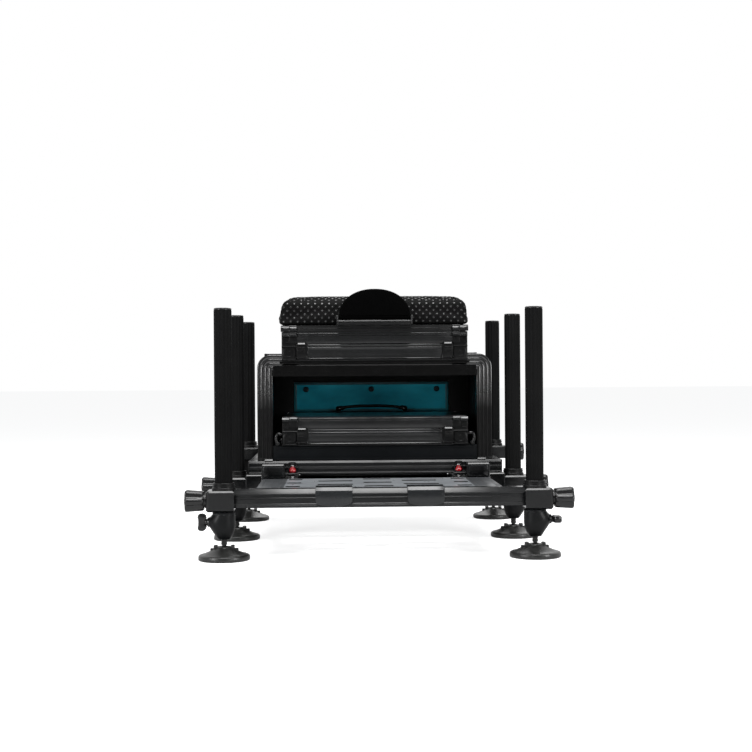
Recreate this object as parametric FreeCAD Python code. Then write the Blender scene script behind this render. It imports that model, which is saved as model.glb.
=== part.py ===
import FreeCAD, Part
import math
import os

# A six-legged fishing seat box, in millimetres, +Z up.
# The origin lies on the ground under the middle of the box.
# +X is the right-hand side seen from the front, and the front faces -Y.

os.makedirs("parts", exist_ok=True)

V = FreeCAD.Vector
X_AXIS = V(1, 0, 0)
Y_AXIS = V(0, 1, 0)
Z_AXIS = V(0, 0, 1)

# Clearances
run_gap = 0.3
shaft_gap = 0.08
seat_gap = 0.1
hoop_gap = 0.5

# Widths, each following from the one before, from the trays out to the legs
tray_half_width = 209.0
side_room = 21.0
hoop_width = 35.0
hoop_outer = tray_half_width + side_room + hoop_width
rail_overhang = 19.0
rail_half_width = hoop_outer + rail_overhang
leg_reach = 29.5
leg_x = rail_half_width + leg_reach

# Legs
front_leg_y = -370.0
middle_leg_y = -30.0
rear_leg_y = 370.0
tube_od = 36.0
tube_wall = 2.0
tube_bottom_z = 58.0
tube_top_z = 502.0
flute_count = 12
flute_radius = 1.8
flute_depth = 0.7
cap_height = 4.0

# Leg end casting, its stud and the foot
casting_top_z = 96.0
casting_bottom_z = 42.0
casting_radius = 22.5
casting_tip_radius = 13.0
casting_taper = 26.0
socket_wall_z = 52.0
wing_z = 76.0
wing_boss_reach = 33.0
wing_boss_radius = 11.0
stud_radius = 6.0
neck_radius = 4.0
ball_radius = 9.0
ball_z = 17.0
foot_radius = 52.0
foot_rim = 9.0
foot_crown_z = 27.0
foot_crown_radius = 16.0
foot_mouth = 7.6
lug_height = 7.0
lug_width = 8.0
lug_offset = 17.0

# Wing screw
wing_neck = 7.0
wing_length = 36.0
wing_thickness = 14.0
wing_depth = 13.0
wing_screw_radius = 4.0

# Clamp blocks on the legs, and their knobs
block_inner = 22.0
block_outer = 34.5
block_half_y = 27.0
front_block_z = (98.0, 140.0)
rear_block_z = (154.0, 186.0)
block_round = 6.0
collar_radius = block_inner - run_gap
collar_height = 15.0
washer_radius = 15.0
washer_length = 5.0
knob_radius = 23.5
knob_length = 38.0
knob_lobes = 6
knob_scallop = 9.0
knob_screw_radius = 5.0
knob_screw_tip_gap = 0.5

# Footplate
deck_z = 142.0
beam_height = 37.0
beam_depth = 38.0
beam_wall = 3.0
groove_height = 4.0
groove_depth = 2.0
plate_half_width = 195.0
plate_thickness = 2.5
plate_back_y = -117.0
arm_inner = 207.0
arm_outer = 249.5
arm_height = 30.0
arm_wall = 2.5
arm_back_y = 140.0
flange_inner = 176.0
flange_thickness = 6.0
pin_groove_width = 7.0
pin_groove_depth = 3.5
tie_depth = 20.0
slot_depth = 26.0
slot_columns = ((-177.0, 30.0, 0), (-90.0, 74.0, 1), (0.0, 60.0, 0), (90.0, 74.0, 1), (177.0, 30.0, 0))
slot_pitch = 90.0
slot_first = 45.0
slot_rows = 3
saddle_x = 92.5
saddle_width = 74.0
saddle_thickness = 3.0
saddle_lap = 16.0

# Chassis
rail_z = (147.0, 177.0)
rail_depth = 40.0
rail_wall = 2.5
side_rail_width = 30.0
guide_inner_wall = 4.4
guide_outer_wall = 4.7
guide_inner = arm_inner - guide_inner_wall
guide_outer = arm_outer + guide_outer_wall
guide_top_z = 172.0
guide_bottom_z = 104.0
guide_front_y = -92.0
plunger_x = 186.0
plunger_lug_z = 145.5
plunger_lug_height = 6.0
plunger_knob_radius = 9.5
plunger_knob_height = 24.0
plunger_pin_radius = 2.6

# Hoops, liner and rear frame
hoop_top_z = 416.0
hoop_round = 47.0
hoop_inner_round = 12.0
hoop_depth = 30.0
front_hoop_y = -46.0
rear_hoop_y = 308.0
hoop_ribs = 4
rib_height = 3.0
liner_thickness = 3.0
saddle_z = 402.0
back_frame_y = 292.0
back_frame_depth = 14.0
window_half = 195.0
door_rebate = 6.0          # how far the frame behind the flap reaches past its edges
window_bottom_z = 277.5
header_rise = 9.0
frame_skin = 5.0
frame_backing = 2.5
spot_height = 1.5
rear_bar_height = 8.0
rear_bar_depth = 18.0
rear_bar_half = 268.0
spot_radius = 4.0

# Flap with its bow handle
flap_thickness = 3.0
flap_clear = 1.0
flap_setback = 0.8
flap_pivot_z = 352.0
flap_pin_radius = 2.0
flap_pin_reach = 5.0
stud_head_height = 2.5
stud_x = 164.0
stud_z = 333.5
stud_head_radius = 5.5
handle_half = 82.0
handle_z = 285.5
handle_bar_radius = 5.5
handle_reach = 17.0

# Trays
tray_front_y = -58.0
tray_back_y = 318.0
tray_height = 65.0
lower_tray_z = 211.0
upper_tray_z = 402.0
tray_wall = 4.0
corner_width = 34.0
corner_depth = 40.0
band_height = 27.0
tray_floor = 3.0
drawer_clear = 1.5
drawer_wall = 3.0
drawer_depth = 330.0
catch_width = 20.0
corner_room = 2.0
drawer_half_width = tray_half_width - corner_width - corner_room - catch_width
catch_height = 38.0
catch_thickness = 5.0
catch_pin_radius = 1.0
base_half_width = tray_half_width + side_room - hoop_gap
base_front_y = -49.0
base_back_y = 356.0
edge_round = 4.0
relief_depth = 2.0
panel_depth = 2.0
panel_margin = 3.0
ear_thickness = 2.0
ear_height = 8.0
ledge_depth = 2.0
ledge_height = 8.0

# Side clips
clip_width = 16.0
clip_length = 24.0
clip_depth = 9.7
clip_pin_radius = 2.0
clip_lug_width = 12.0
clip_lug_height = 9.0
clip_hook_height = 5.0

# Hinge behind the seat
hinge_behind = 5.5
hinge_radius = 5.0
hinge_pin_radius = 2.5
hinge_pin_half = 150.0
knuckle_length = 30.0
tray_knuckle_x = 120.0
lid_knuckle_x = 85.0

# Seat
seat_frame_height = 18.5
seat_frame_half = tray_half_width + 1.0
cushion_lap = 2.0
cushion_half_width = seat_frame_half + cushion_lap
cushion_front_y = -56.0
cushion_back_y = 320.0
cushion_height = 68.0
cushion_crown = 9.0
cushion_round = 24.0
grip_half_width = 83.5
grip_height = 62.0
grip_thickness = 14.0
grip_base_z = 496.0
grip_pin_radius = 3.0


def box(x_span, y_span, z_span):
    """A block given by its low and high sides."""
    size = [span[1] - span[0] for span in (x_span, y_span, z_span)]
    return Part.makeBox(size[0], size[1], size[2], V(x_span[0], y_span[0], z_span[0]))


def rod(radius, start, axis, length):
    """A round bar from a start point along an axis."""
    return Part.makeCylinder(radius, length, start, axis)


def centred(half):
    """The span from -half to +half."""
    return (-half, half)


def about(middle, half):
    """The span of half to both sides of a middle."""
    return (middle - half, middle + half)


def left_of(shape):
    """The mirror image on the other side of the box."""
    return shape.mirror(V(0, 0, 0), X_AXIS)


def pair(shape):
    """A right-hand solid and its mirror image."""
    return [shape, left_of(shape)]


def edges_along(shape, axis, keep):
    """The straight edges along an axis whose middle passes a test."""
    chosen = []
    for edge in shape.Edges:
        if edge.Curve.TypeId != "Part::GeomLine":
            continue
        if abs(edge.tangentAt(edge.FirstParameter).dot(axis)) > 0.999 and keep(edge.CenterOfMass):
            chosen.append(edge)
    return chosen


def save(node, solids):
    """Writes one node, as one solid or as a group of separate solids."""
    shape = solids[0] if len(solids) == 1 else Part.makeCompound(solids)
    shape.exportStep("parts/" + node + ".step")


def hollow(x_span, y_span, z_span, wall, axis):
    """A box section that is open at both ends of one axis."""
    inner = []
    for index, span in enumerate((x_span, y_span, z_span)):
        inset = 0 if index == axis else wall
        inner.append((span[0] + inset, span[1] - inset))
    return box(x_span, y_span, z_span).cut(box(*inner))


def leg_tube(y):
    """The fluted tube of a right-hand leg."""
    height = tube_top_z - tube_bottom_z
    base = V(leg_x, y, tube_bottom_z)
    tube = rod(tube_od / 2, base, Z_AXIS, height)
    cutters = [rod(tube_od / 2 - tube_wall, base, Z_AXIS, height)]
    ring = tube_od / 2 + flute_radius - flute_depth
    for index in range(flute_count):
        angle = 2 * math.pi * index / flute_count
        place = base + V(ring * math.cos(angle), ring * math.sin(angle), 0)
        cutters.append(rod(flute_radius, place, Z_AXIS, height))
    return tube.cut(Part.makeCompound(cutters))


def leg_cap(y):
    """The cap that plugs the top of a leg tube."""
    plug_radius = tube_od / 2 - tube_wall - seat_gap
    head = rod(tube_od / 2, V(leg_x, y, tube_top_z), Z_AXIS, cap_height)
    top = [edge for edge in head.Edges if abs(edge.CenterOfMass.z - tube_top_z - cap_height) < 0.01]
    head = head.makeFillet(cap_height / 2, top)
    return head.fuse(rod(plug_radius, V(leg_x, y, tube_top_z - 3 * cap_height), Z_AXIS, 3 * cap_height))


def leg_casting(y):
    """The casting on a tube's lower end, with its boss for the wing screw."""
    taper_top = casting_bottom_z + casting_taper
    body = rod(casting_radius, V(leg_x, y, taper_top), Z_AXIS, casting_top_z - taper_top)
    tip = Part.makeCone(casting_tip_radius, casting_radius, casting_taper, V(leg_x, y, casting_bottom_z))
    boss = Part.makeCone(casting_radius * 0.8, wing_boss_radius, wing_boss_reach, V(leg_x, y, wing_z), X_AXIS)
    casting = body.fuse([tip, boss])
    bore = rod(tube_od / 2 + seat_gap, V(leg_x, y, tube_bottom_z), Z_AXIS, casting_top_z)
    stud_length = socket_wall_z - casting_bottom_z
    stud_hole = rod(stud_radius + seat_gap, V(leg_x, y, casting_bottom_z), Z_AXIS, stud_length)
    screw_hole = rod(wing_screw_radius + shaft_gap, V(leg_x, y, wing_z), X_AXIS, 2 * wing_boss_reach)
    return casting.cut(Part.makeCompound([bore, stud_hole, screw_hole]))


def foot_stud(y):
    """The ball-ended stud under a leg."""
    neck_z = foot_crown_z + 3
    stud = rod(stud_radius, V(leg_x, y, neck_z), Z_AXIS, socket_wall_z - neck_z)
    neck = rod(neck_radius, V(leg_x, y, ball_z), Z_AXIS, neck_z - ball_z)
    ball = Part.makeSphere(ball_radius, V(leg_x, y, ball_z))
    return stud.fuse([neck, ball])


def foot(y):
    """A round mud foot with its ball socket and two lugs."""
    socket = ball_radius + run_gap
    mouth_z = ball_z + math.sqrt(socket ** 2 - foot_mouth ** 2)
    side = socket * math.cos(math.radians(20))
    low = ball_z - socket * math.sin(math.radians(20))
    bevel = 2.0
    outline = [
        Part.makeLine(V(0, 0, 0), V(foot_radius - bevel, 0, 0)),
        Part.makeLine(V(foot_radius - bevel, 0, 0), V(foot_radius, 0, bevel)),
        Part.makeLine(V(foot_radius, 0, bevel), V(foot_radius, 0, foot_rim)),
        Part.Arc(V(foot_radius, 0, foot_rim), V(0.62 * foot_radius, 0, 0.74 * foot_crown_z),
                 V(foot_crown_radius, 0, foot_crown_z)).toShape(),
        Part.makeLine(V(foot_crown_radius, 0, foot_crown_z), V(foot_mouth, 0, foot_crown_z)),
        Part.makeLine(V(foot_mouth, 0, foot_crown_z), V(foot_mouth, 0, mouth_z)),
        Part.Arc(V(foot_mouth, 0, mouth_z), V(side, 0, low), V(0, 0, ball_z - socket)).toShape(),
        Part.makeLine(V(0, 0, ball_z - socket), V(0, 0, 0)),
    ]
    body = Part.Face(Part.Wire(outline)).revolve(V(0, 0, 0), Z_AXIS, 360)
    for side_sign in (-1, 1):
        lug_z = (foot_crown_z - lug_height, foot_crown_z + lug_height)
        lug = box(about(side_sign * lug_offset, lug_width / 2), centred(lug_width), lug_z)
        body = body.fuse(lug)
    body.translate(V(leg_x, y, 0))
    return body.removeSplitter()


def wing_knob(y, turned):
    """A wing screw that clamps the leg end, upright or turned a quarter."""
    start = leg_x + wing_boss_reach + run_gap
    neck_base = V(start, y, wing_z)
    neck = Part.makeCone(wing_boss_radius * 0.8, wing_boss_radius * 0.6, wing_neck, neck_base, X_AXIS)
    wing_x = (start + wing_neck, start + wing_neck + wing_depth)
    wing = box(wing_x, about(y, wing_thickness / 2), about(wing_z, wing_length / 2))
    wing = wing.makeFillet(wing_thickness / 2.2, edges_along(wing, X_AXIS, lambda place: True))
    tip = leg_x + tube_od / 2 + knob_screw_tip_gap
    screw = rod(wing_screw_radius, V(tip, y, wing_z), X_AXIS, start + wing_neck - tip)
    knob = wing.fuse([neck, screw])
    if turned:
        knob.rotate(V(0, y, wing_z), X_AXIS, 90)
    return knob


def clamp_block(y, z_span, inner):
    """The block that grips a leg tube, with its collar and screw hole."""
    x_span = (leg_x - inner, leg_x + block_outer)
    block = box(x_span, about(y, block_half_y), z_span)
    outside = edges_along(block, Z_AXIS, lambda place: place.x > leg_x)
    block = block.makeFillet(block_round, outside)
    collar = rod(collar_radius, V(leg_x, y, z_span[1]), Z_AXIS, collar_height)
    bore = rod(tube_od / 2 + run_gap, V(leg_x, y, z_span[0]), Z_AXIS, z_span[1] - z_span[0] + collar_height)
    screw_z = (z_span[0] + z_span[1]) / 2
    screw_hole = rod(knob_screw_radius + shaft_gap, V(leg_x, y, screw_z), X_AXIS, 2 * block_outer)
    return block.fuse(collar).cut(Part.makeCompound([bore, screw_hole])).removeSplitter()


def clamp_knob(y, z_span):
    """A lobed knob with the screw that grips a leg tube."""
    axis_z = (z_span[0] + z_span[1]) / 2
    start = leg_x + block_outer + run_gap
    washer = rod(washer_radius, V(start, y, axis_z), X_AXIS, washer_length)
    head_x = start + washer_length
    head = rod(knob_radius, V(head_x, y, axis_z), X_AXIS, knob_length)
    head = head.makeChamfer(2.0, [edge for edge in head.Edges if edge.Closed])
    ring = knob_radius + knob_scallop * 0.62
    cutters = []
    for index in range(knob_lobes):
        angle = 2 * math.pi * (index + 0.5) / knob_lobes
        place = V(head_x, y + ring * math.sin(angle), axis_z + ring * math.cos(angle))
        cutters.append(rod(knob_scallop, place, X_AXIS, knob_length))
    head = head.cut(Part.makeCompound(cutters))
    tip = leg_x + tube_od / 2 + knob_screw_tip_gap
    screw = rod(knob_screw_radius, V(tip, y, axis_z), X_AXIS, head_x - tip)
    return head.fuse([washer, screw])


def make_legs():
    """Six legs, each with its casting, foot, wing screw and clamp knob."""
    rows = (("front", front_leg_y, front_block_z), ("middle", middle_leg_y, front_block_z),
            ("rear", rear_leg_y, rear_block_z))
    for row, y, z_span in rows:
        for side in ("left", "right"):
            place = left_of if side == "left" else (lambda shape: shape)
            name = row + "_" + side
            save("leg_tube_" + name, [place(leg_tube(y)), place(leg_cap(y))])
            save("leg_end_" + name, [place(leg_casting(y)), place(foot_stud(y))])
            save("foot_" + name, [place(foot(y))])
            save("wing_knob_" + name, [place(wing_knob(y, side == "right"))])
            save("clamp_knob_" + name, [place(clamp_knob(y, z_span))])


def make_leg_blocks():
    """The clamp blocks of the footplate and of the chassis."""
    save("front_leg_blocks", pair(clamp_block(front_leg_y, front_block_z, block_inner)))
    middle = clamp_block(middle_leg_y, front_block_z, block_inner)
    rear = clamp_block(rear_leg_y, rear_block_z, leg_x - rail_half_width)
    save("chassis_leg_blocks", pair(middle) + pair(rear))


def grooved_front(shape, x_span, y_front, z_span, count):
    """Cuts evenly spaced lengthwise grooves into a front face."""
    for index in range(count):
        middle = z_span[0] + (z_span[1] - z_span[0]) * (index + 1) / (count + 1)
        z_groove = about(middle, groove_height / 2)
        shape = shape.cut(box(x_span, (y_front, y_front + groove_depth), z_groove))
    return shape


def make_footplate():
    """The sliding footplate: beam, arms, slotted plate, trims and saddle clips."""
    beam_half = leg_x - block_inner
    beam_y = about(front_leg_y, beam_depth / 2)
    beam_z = (deck_z - beam_height, deck_z)
    beam = hollow(centred(beam_half), beam_y, beam_z, beam_wall + groove_depth, 0)
    beam = grooved_front(beam, centred(beam_half), beam_y[0], beam_z, 3)
    save("footplate_beam", [beam])

    plate_z = (deck_z - plate_thickness, deck_z)
    arm_y = (beam_y[1], arm_back_y)
    arm_z = (plate_z[0] - arm_height, plate_z[0])
    flange_z = (plate_z[0] - flange_thickness, plate_z[0])
    arm = hollow((arm_inner, arm_outer), arm_y, arm_z, arm_wall, 1)
    flange = box((flange_inner, arm_inner), arm_y, flange_z)
    groove_z = (plate_z[0] - pin_groove_depth, plate_z[0])
    groove = box(about(plunger_x, pin_groove_width / 2), arm_y, groove_z)
    arm = arm.fuse(flange).cut(groove).removeSplitter()
    tie_z = (arm_z[0] + arm_wall, flange_z[0] - arm_wall)
    tie_y = (arm_back_y - tie_depth, arm_back_y)
    tie = box(centred(arm_inner), tie_y, tie_z)
    tie = tie.fuse(box(centred(flange_inner - run_gap), tie_y, (tie_z[0], plate_z[0])))
    save("footplate_arms", pair(arm) + [tie])

    plate_y = (beam_y[1], plate_back_y)
    plate = box(centred(plate_half_width), plate_y, plate_z)
    cutters = []
    for middle, width, shifted in slot_columns:
        for row in range(slot_rows - shifted):
            start = plate_y[0] + slot_first - slot_depth + slot_pitch * (row + shifted / 2)
            cutters.append(box(about(middle, width / 2), (start, start + slot_depth), plate_z))
    save("footplate_plate", [plate.cut(Part.makeCompound(cutters))])

    trim = box((plate_half_width, arm_outer), plate_y, plate_z)
    saddle_x_span = about(saddle_x, saddle_width / 2)
    lip_z = (beam_z[0], deck_z + saddle_thickness)
    lip = box(saddle_x_span, (beam_y[0] - saddle_thickness, beam_y[0]), lip_z)
    lip = lip.makeFillet(12.0, edges_along(lip, Y_AXIS, lambda place: place.z < deck_z - 10))
    lap_y = (beam_y[0] - saddle_thickness, beam_y[1] + saddle_lap)
    lap = box(saddle_x_span, lap_y, (deck_z, deck_z + saddle_thickness))
    save("footplate_trims", pair(trim) + pair(lip.fuse(lap).removeSplitter()))


def make_guides():
    """The guide blocks on the front rail, and their sprung release plungers."""
    plate_bottom = deck_z - plate_thickness
    rail_front = middle_leg_y - rail_depth / 2
    guide_y = (guide_front_y, rail_front)
    guide = box((guide_inner, guide_outer), guide_y, (guide_bottom_z, guide_top_z))
    front_edges = edges_along(guide, X_AXIS, lambda place: place.z > deck_z and place.y < guide_front_y + 1)
    guide = guide.makeFillet(3.0, front_edges)
    bridge_y = (guide_front_y + 30, middle_leg_y + block_half_y - block_round)
    bridge = box((guide_outer, leg_x - block_inner), bridge_y, (guide_bottom_z, rail_z[0]))
    under = box((guide_inner, guide_outer), (rail_front, bridge_y[1]), (deck_z + 1, rail_z[0]))
    lug_x = (flange_inner - 3, guide_inner)
    lug_z = (plunger_lug_z, plunger_lug_z + plunger_lug_height)
    lug_middle = (guide_front_y + rail_front) / 2
    lug = box(lug_x, about(lug_middle, 14.0), lug_z)
    arm_gap = (arm_inner - run_gap, arm_outer + run_gap)
    arm_z = (plate_bottom - arm_height - run_gap, plate_bottom + run_gap)
    flange_z = (plate_bottom - flange_thickness - run_gap, plate_bottom + run_gap)
    tunnel = box(arm_gap, (guide_y[0], bridge_y[1]), arm_z)
    notch = box((guide_inner, arm_inner), guide_y, flange_z)
    pin_place = V(plunger_x, lug_middle, lug_z[0])
    pin_hole = rod(plunger_pin_radius + shaft_gap, pin_place, Z_AXIS, plunger_lug_height)
    body = guide.fuse([bridge, under, lug]).cut(Part.makeCompound([tunnel, notch, pin_hole]))
    save("footplate_guides", pair(body.removeSplitter()))

    tip_z = plate_bottom - pin_groove_depth + run_gap
    knob_z = lug_z[1] + run_gap
    pin = rod(plunger_pin_radius, V(plunger_x, lug_middle, tip_z), Z_AXIS, knob_z - tip_z)
    knob = rod(plunger_knob_radius, V(plunger_x, lug_middle, knob_z), Z_AXIS, plunger_knob_height)
    knob = knob.makeFillet(plunger_knob_radius * 0.4, [edge for edge in knob.Edges if edge.Closed])
    plunger = knob.fuse(pin)
    save("plunger_right", [plunger])
    save("plunger_left", [left_of(plunger)])


def make_chassis():
    """The rails of the chassis."""
    front_y = about(middle_leg_y, rail_depth / 2)
    rear_y = about(rear_leg_y, rail_depth / 2)
    front = hollow(centred(rail_half_width), front_y, rail_z, rail_wall + groove_depth, 0)
    front = grooved_front(front, centred(rail_half_width), front_y[0], rail_z, 2)
    rear = hollow(centred(rail_half_width), rear_y, rail_z, rail_wall, 0)
    side_x = (rail_half_width - side_rail_width, rail_half_width)
    side = hollow(side_x, (front_y[1], rear_y[0]), rail_z, rail_wall, 1)
    save("chassis_rails", [front] + pair(side) + [rear])


def arch_face(inset, y):
    """A face in the shape of the hoop's outline, drawn in by an inset."""
    half = hoop_outer - inset
    top = hoop_top_z - inset
    radius = max(hoop_round - inset, hoop_inner_round)
    low = rail_z[1]
    turn = radius * (1 - math.sqrt(0.5))
    points = [V(-half, y, low), V(-half, y, top - radius), V(-half + radius, y, top),
              V(half - radius, y, top), V(half, y, top - radius), V(half, y, low)]
    edges = [
        Part.makeLine(points[0], points[1]),
        Part.Arc(points[1], V(-half + turn, y, top - turn), points[2]).toShape(),
        Part.makeLine(points[2], points[3]),
        Part.Arc(points[3], V(half - turn, y, top - turn), points[4]).toShape(),
        Part.makeLine(points[4], points[5]),
        Part.makeLine(points[5], points[0]),
    ]
    return Part.Face(Part.Wire(edges))


def arch_band(inset, width, y, depth):
    """A band that follows the hoop's outline."""
    band = arch_face(inset, y).cut(arch_face(inset + width, y))
    return band.extrude(V(0, depth, 0))


def hoop(y, outward):
    """A ribbed hoop whose ribs stand on the face that looks outward."""
    face_y = y if outward < 0 else y + hoop_depth - rib_height
    core_y = y + rib_height if outward < 0 else y
    body = arch_band(0, hoop_width, core_y, hoop_depth - rib_height)
    pitch = hoop_width / hoop_ribs
    ribs = []
    for index in range(hoop_ribs):
        ribs.append(arch_band(index * pitch + pitch * 0.16, pitch * 0.68, face_y, rib_height))
    body = body.fuse(ribs)
    seat = box(centred(tray_half_width + 1), (y - 1, y + hoop_depth + 1), (saddle_z, hoop_top_z + 1))
    return body.cut(seat).removeSplitter()


def make_shell():
    """The two hoops, the liner between them and the bar across the back."""
    save("front_hoop", [hoop(front_hoop_y, -1)])
    rear = hoop(rear_hoop_y, 1)
    bar_y = (tray_back_y + run_gap, tray_back_y + run_gap + rear_bar_depth)
    bar = box(centred(rear_bar_half), bar_y, (hoop_top_z, hoop_top_z + rear_bar_height))
    save("rear_hoop", [rear, bar])
    liner_inset = hoop_width / 2
    liner_y = front_hoop_y + hoop_depth
    liner = arch_band(liner_inset, liner_thickness, liner_y, rear_hoop_y - liner_y)
    save("bay_liner", [liner])


def make_back_frame():
    """The frame at the back of the bay, with its flap and bow handle."""
    deck_top = lower_tray_z + tray_height
    inside = hoop_outer - hoop_width / 2 - liner_thickness - run_gap
    ceiling = hoop_top_z - hoop_width / 2 - liner_thickness - run_gap
    frame_y = (back_frame_y, back_frame_y + back_frame_depth)
    frame = box(centred(inside), frame_y, (deck_top, ceiling))
    corners = edges_along(frame, Y_AXIS, lambda place: place.z > deck_top + 1)
    frame = frame.makeFillet(hoop_round - hoop_width / 2 - liner_thickness, corners)
    legs = pair(box((tray_half_width + run_gap, inside), frame_y, (lower_tray_z + run_gap, deck_top)))
    frame = frame.fuse(legs)
    lintel_z = flap_pivot_z + flap_thickness
    window = [
        Part.makeLine(V(-window_half, frame_y[0], deck_top), V(window_half, frame_y[0], deck_top)),
        Part.makeLine(V(window_half, frame_y[0], deck_top), V(window_half, frame_y[0], lintel_z)),
        Part.Arc(V(window_half, frame_y[0], lintel_z), V(0, frame_y[0], lintel_z + header_rise),
                 V(-window_half, frame_y[0], lintel_z)).toShape(),
        Part.makeLine(V(-window_half, frame_y[0], lintel_z), V(-window_half, frame_y[0], deck_top)),
    ]
    opening = Part.Face(Part.Wire(window)).extrude(V(0, frame_skin, 0))
    clear_z = flap_pivot_z - 2 * flap_thickness - flap_clear
    doorway = box(centred(window_half - door_rebate), frame_y, (deck_top + door_rebate, clear_z))
    flap_front = frame_y[0] + frame_skin + flap_setback
    flap_y = (flap_front, flap_front + flap_thickness)
    pivot_y = (flap_y[0] + flap_y[1]) / 2
    recess_y = (frame_y[0] + frame_skin, frame_y[1] - frame_backing)
    recess = box(centred(window_half), recess_y, (deck_top, lintel_z + header_rise))
    pin_half = window_half + flap_pin_reach
    pin = rod(flap_pin_radius, V(-pin_half, pivot_y, flap_pivot_z), X_AXIS, 2 * pin_half)
    pin_hole = rod(flap_pin_radius + shaft_gap, V(-pin_half, pivot_y, flap_pivot_z), X_AXIS, 2 * pin_half)
    frame = frame.cut([opening, doorway, recess]).cut(pin_hole)
    spots = []
    for side in (-1, 1):
        place = V(side * (inside - 3 * spot_radius), frame_y[0] - spot_height, ceiling - 4 * spot_radius)
        spots.append(rod(spot_radius, place, Y_AXIS, spot_height))
    save("back_frame", [frame.removeSplitter()] + spots)

    flap_x = centred(window_half - flap_clear)
    sheet = box(flap_x, flap_y, (window_bottom_z, flap_pivot_z))
    knuckle = rod(flap_thickness * 0.7, V(flap_x[0], pivot_y, flap_pivot_z), X_AXIS, flap_x[1] - flap_x[0])
    sheet = sheet.fuse([knuckle, pin])
    holes = []
    fittings = []
    for x in (-stud_x, 0, stud_x):
        body = rod(stud_head_radius / 2, V(x, flap_y[0], stud_z), Y_AXIS, flap_thickness)
        head = rod(stud_head_radius, V(x, flap_y[0] - stud_head_height, stud_z), Y_AXIS, stud_head_height)
        holes.append(body)
        fittings.append(body.fuse(head))
    save("rear_flap", [sheet.cut(Part.makeCompound(holes)).removeSplitter()])
    bar_y = flap_y[0] - handle_reach
    bar = rod(handle_bar_radius, V(-handle_half, bar_y, handle_z), X_AXIS, 2 * handle_half)
    posts = []
    for side in (-1, 1):
        x = side * (handle_half - handle_bar_radius)
        posts.append(rod(handle_bar_radius, V(x, bar_y, handle_z), Y_AXIS, handle_reach))
        posts.append(Part.makeSphere(handle_bar_radius * 1.3, V(side * handle_half, bar_y, handle_z)))
    save("flap_handle", [bar.fuse(posts)] + fittings)


def tray_shell(low, closed_top):
    """A tray module: floor, walls, corner mouldings, front band and drawer runners."""
    high = low + tray_height
    y_span = (tray_front_y, tray_back_y)
    band_z = high - band_height
    outer = box(centred(tray_half_width), y_span, (low, high))
    runner = drawer_half_width + catch_width + drawer_clear
    top = high - tray_floor if closed_top else high
    store = box(centred(tray_half_width - tray_wall), (y_span[0] + tray_wall, y_span[1] - tray_wall),
                (band_z + tray_floor, top))
    bay = box(centred(runner), (y_span[0], y_span[1] - tray_wall), (low + tray_floor, band_z))
    side_x = (runner + tray_floor, tray_half_width - tray_wall)
    side_y = (y_span[0] + corner_depth, y_span[1] - corner_depth)
    side = box(side_x, side_y, (low + tray_floor, band_z))
    shell = outer.cut(Part.makeCompound([store, bay] + pair(side)))
    inner_x = tray_half_width - corner_width
    relief = box(centred(inner_x), (y_span[0], y_span[0] + relief_depth), (band_z, high))
    ends = edges_along(shell, Z_AXIS, lambda place: abs(place.x) > tray_half_width - 1)
    return shell.makeFillet(edge_round, ends).cut(relief)


def drawer(low):
    """A drawer with its front, and ears for the two catches."""
    half = drawer_half_width + catch_width
    z_span = (low + tray_floor + run_gap, low + tray_height - band_height - drawer_clear)
    front_y = (tray_front_y, tray_front_y + tray_wall)
    body_y = (front_y[1], tray_front_y + drawer_depth)
    body = box(centred(half), (front_y[0], body_y[1]), z_span)
    inside = box(centred(half - drawer_wall), (body_y[0], body_y[1] - drawer_wall),
                 (z_span[0] + drawer_wall, z_span[1]))
    panel_y = (front_y[0] - panel_depth, front_y[0])
    panel = box(centred(drawer_half_width - panel_margin), panel_y, z_span)
    solids = [panel]
    ear_z = (z_span[0], z_span[0] + ear_height)
    ear_y = (front_y[0] - catch_thickness, front_y[0])
    for x in (drawer_half_width - ear_thickness, drawer_half_width + catch_width - ear_thickness):
        ear = box((x, x + ear_thickness), ear_y, ear_z)
        solids += pair(ear)
    body = body.cut(inside).fuse(solids)
    pivot_y = front_y[0] - catch_thickness / 2 - run_gap
    for side in (-1, 1):
        middle = side * (drawer_half_width + catch_width / 2)
        start = V(middle - catch_width, pivot_y, ear_z[0] + ear_height / 2)
        hole = rod(catch_pin_radius + shaft_gap, start, X_AXIS, 2 * catch_width)
        body = body.cut(hole)
    return body.removeSplitter()


def catch(low):
    """A right-hand drawer catch on its pin."""
    pivot_y = tray_front_y - catch_thickness / 2 - run_gap
    pivot_z = low + tray_floor + run_gap + ear_height / 2
    x_span = (drawer_half_width + run_gap, drawer_half_width + catch_width - ear_thickness - run_gap)
    half = catch_thickness / 2
    plate = box(x_span, about(pivot_y, half), (pivot_z, pivot_z + catch_height - half))
    lower = rod(half, V(x_span[0], pivot_y, pivot_z), X_AXIS, x_span[1] - x_span[0])
    ledge_z = (pivot_z + catch_height - ledge_height, pivot_z + catch_height - half)
    ledge = box(x_span, (pivot_y - half - ledge_depth, pivot_y), ledge_z)
    pin_start = V(x_span[0] - ear_thickness, pivot_y, pivot_z)
    pin = rod(catch_pin_radius, pin_start, X_AXIS, x_span[1] - x_span[0] + 2 * ear_thickness)
    return plate.fuse([lower, ledge, pin]).removeSplitter()


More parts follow.
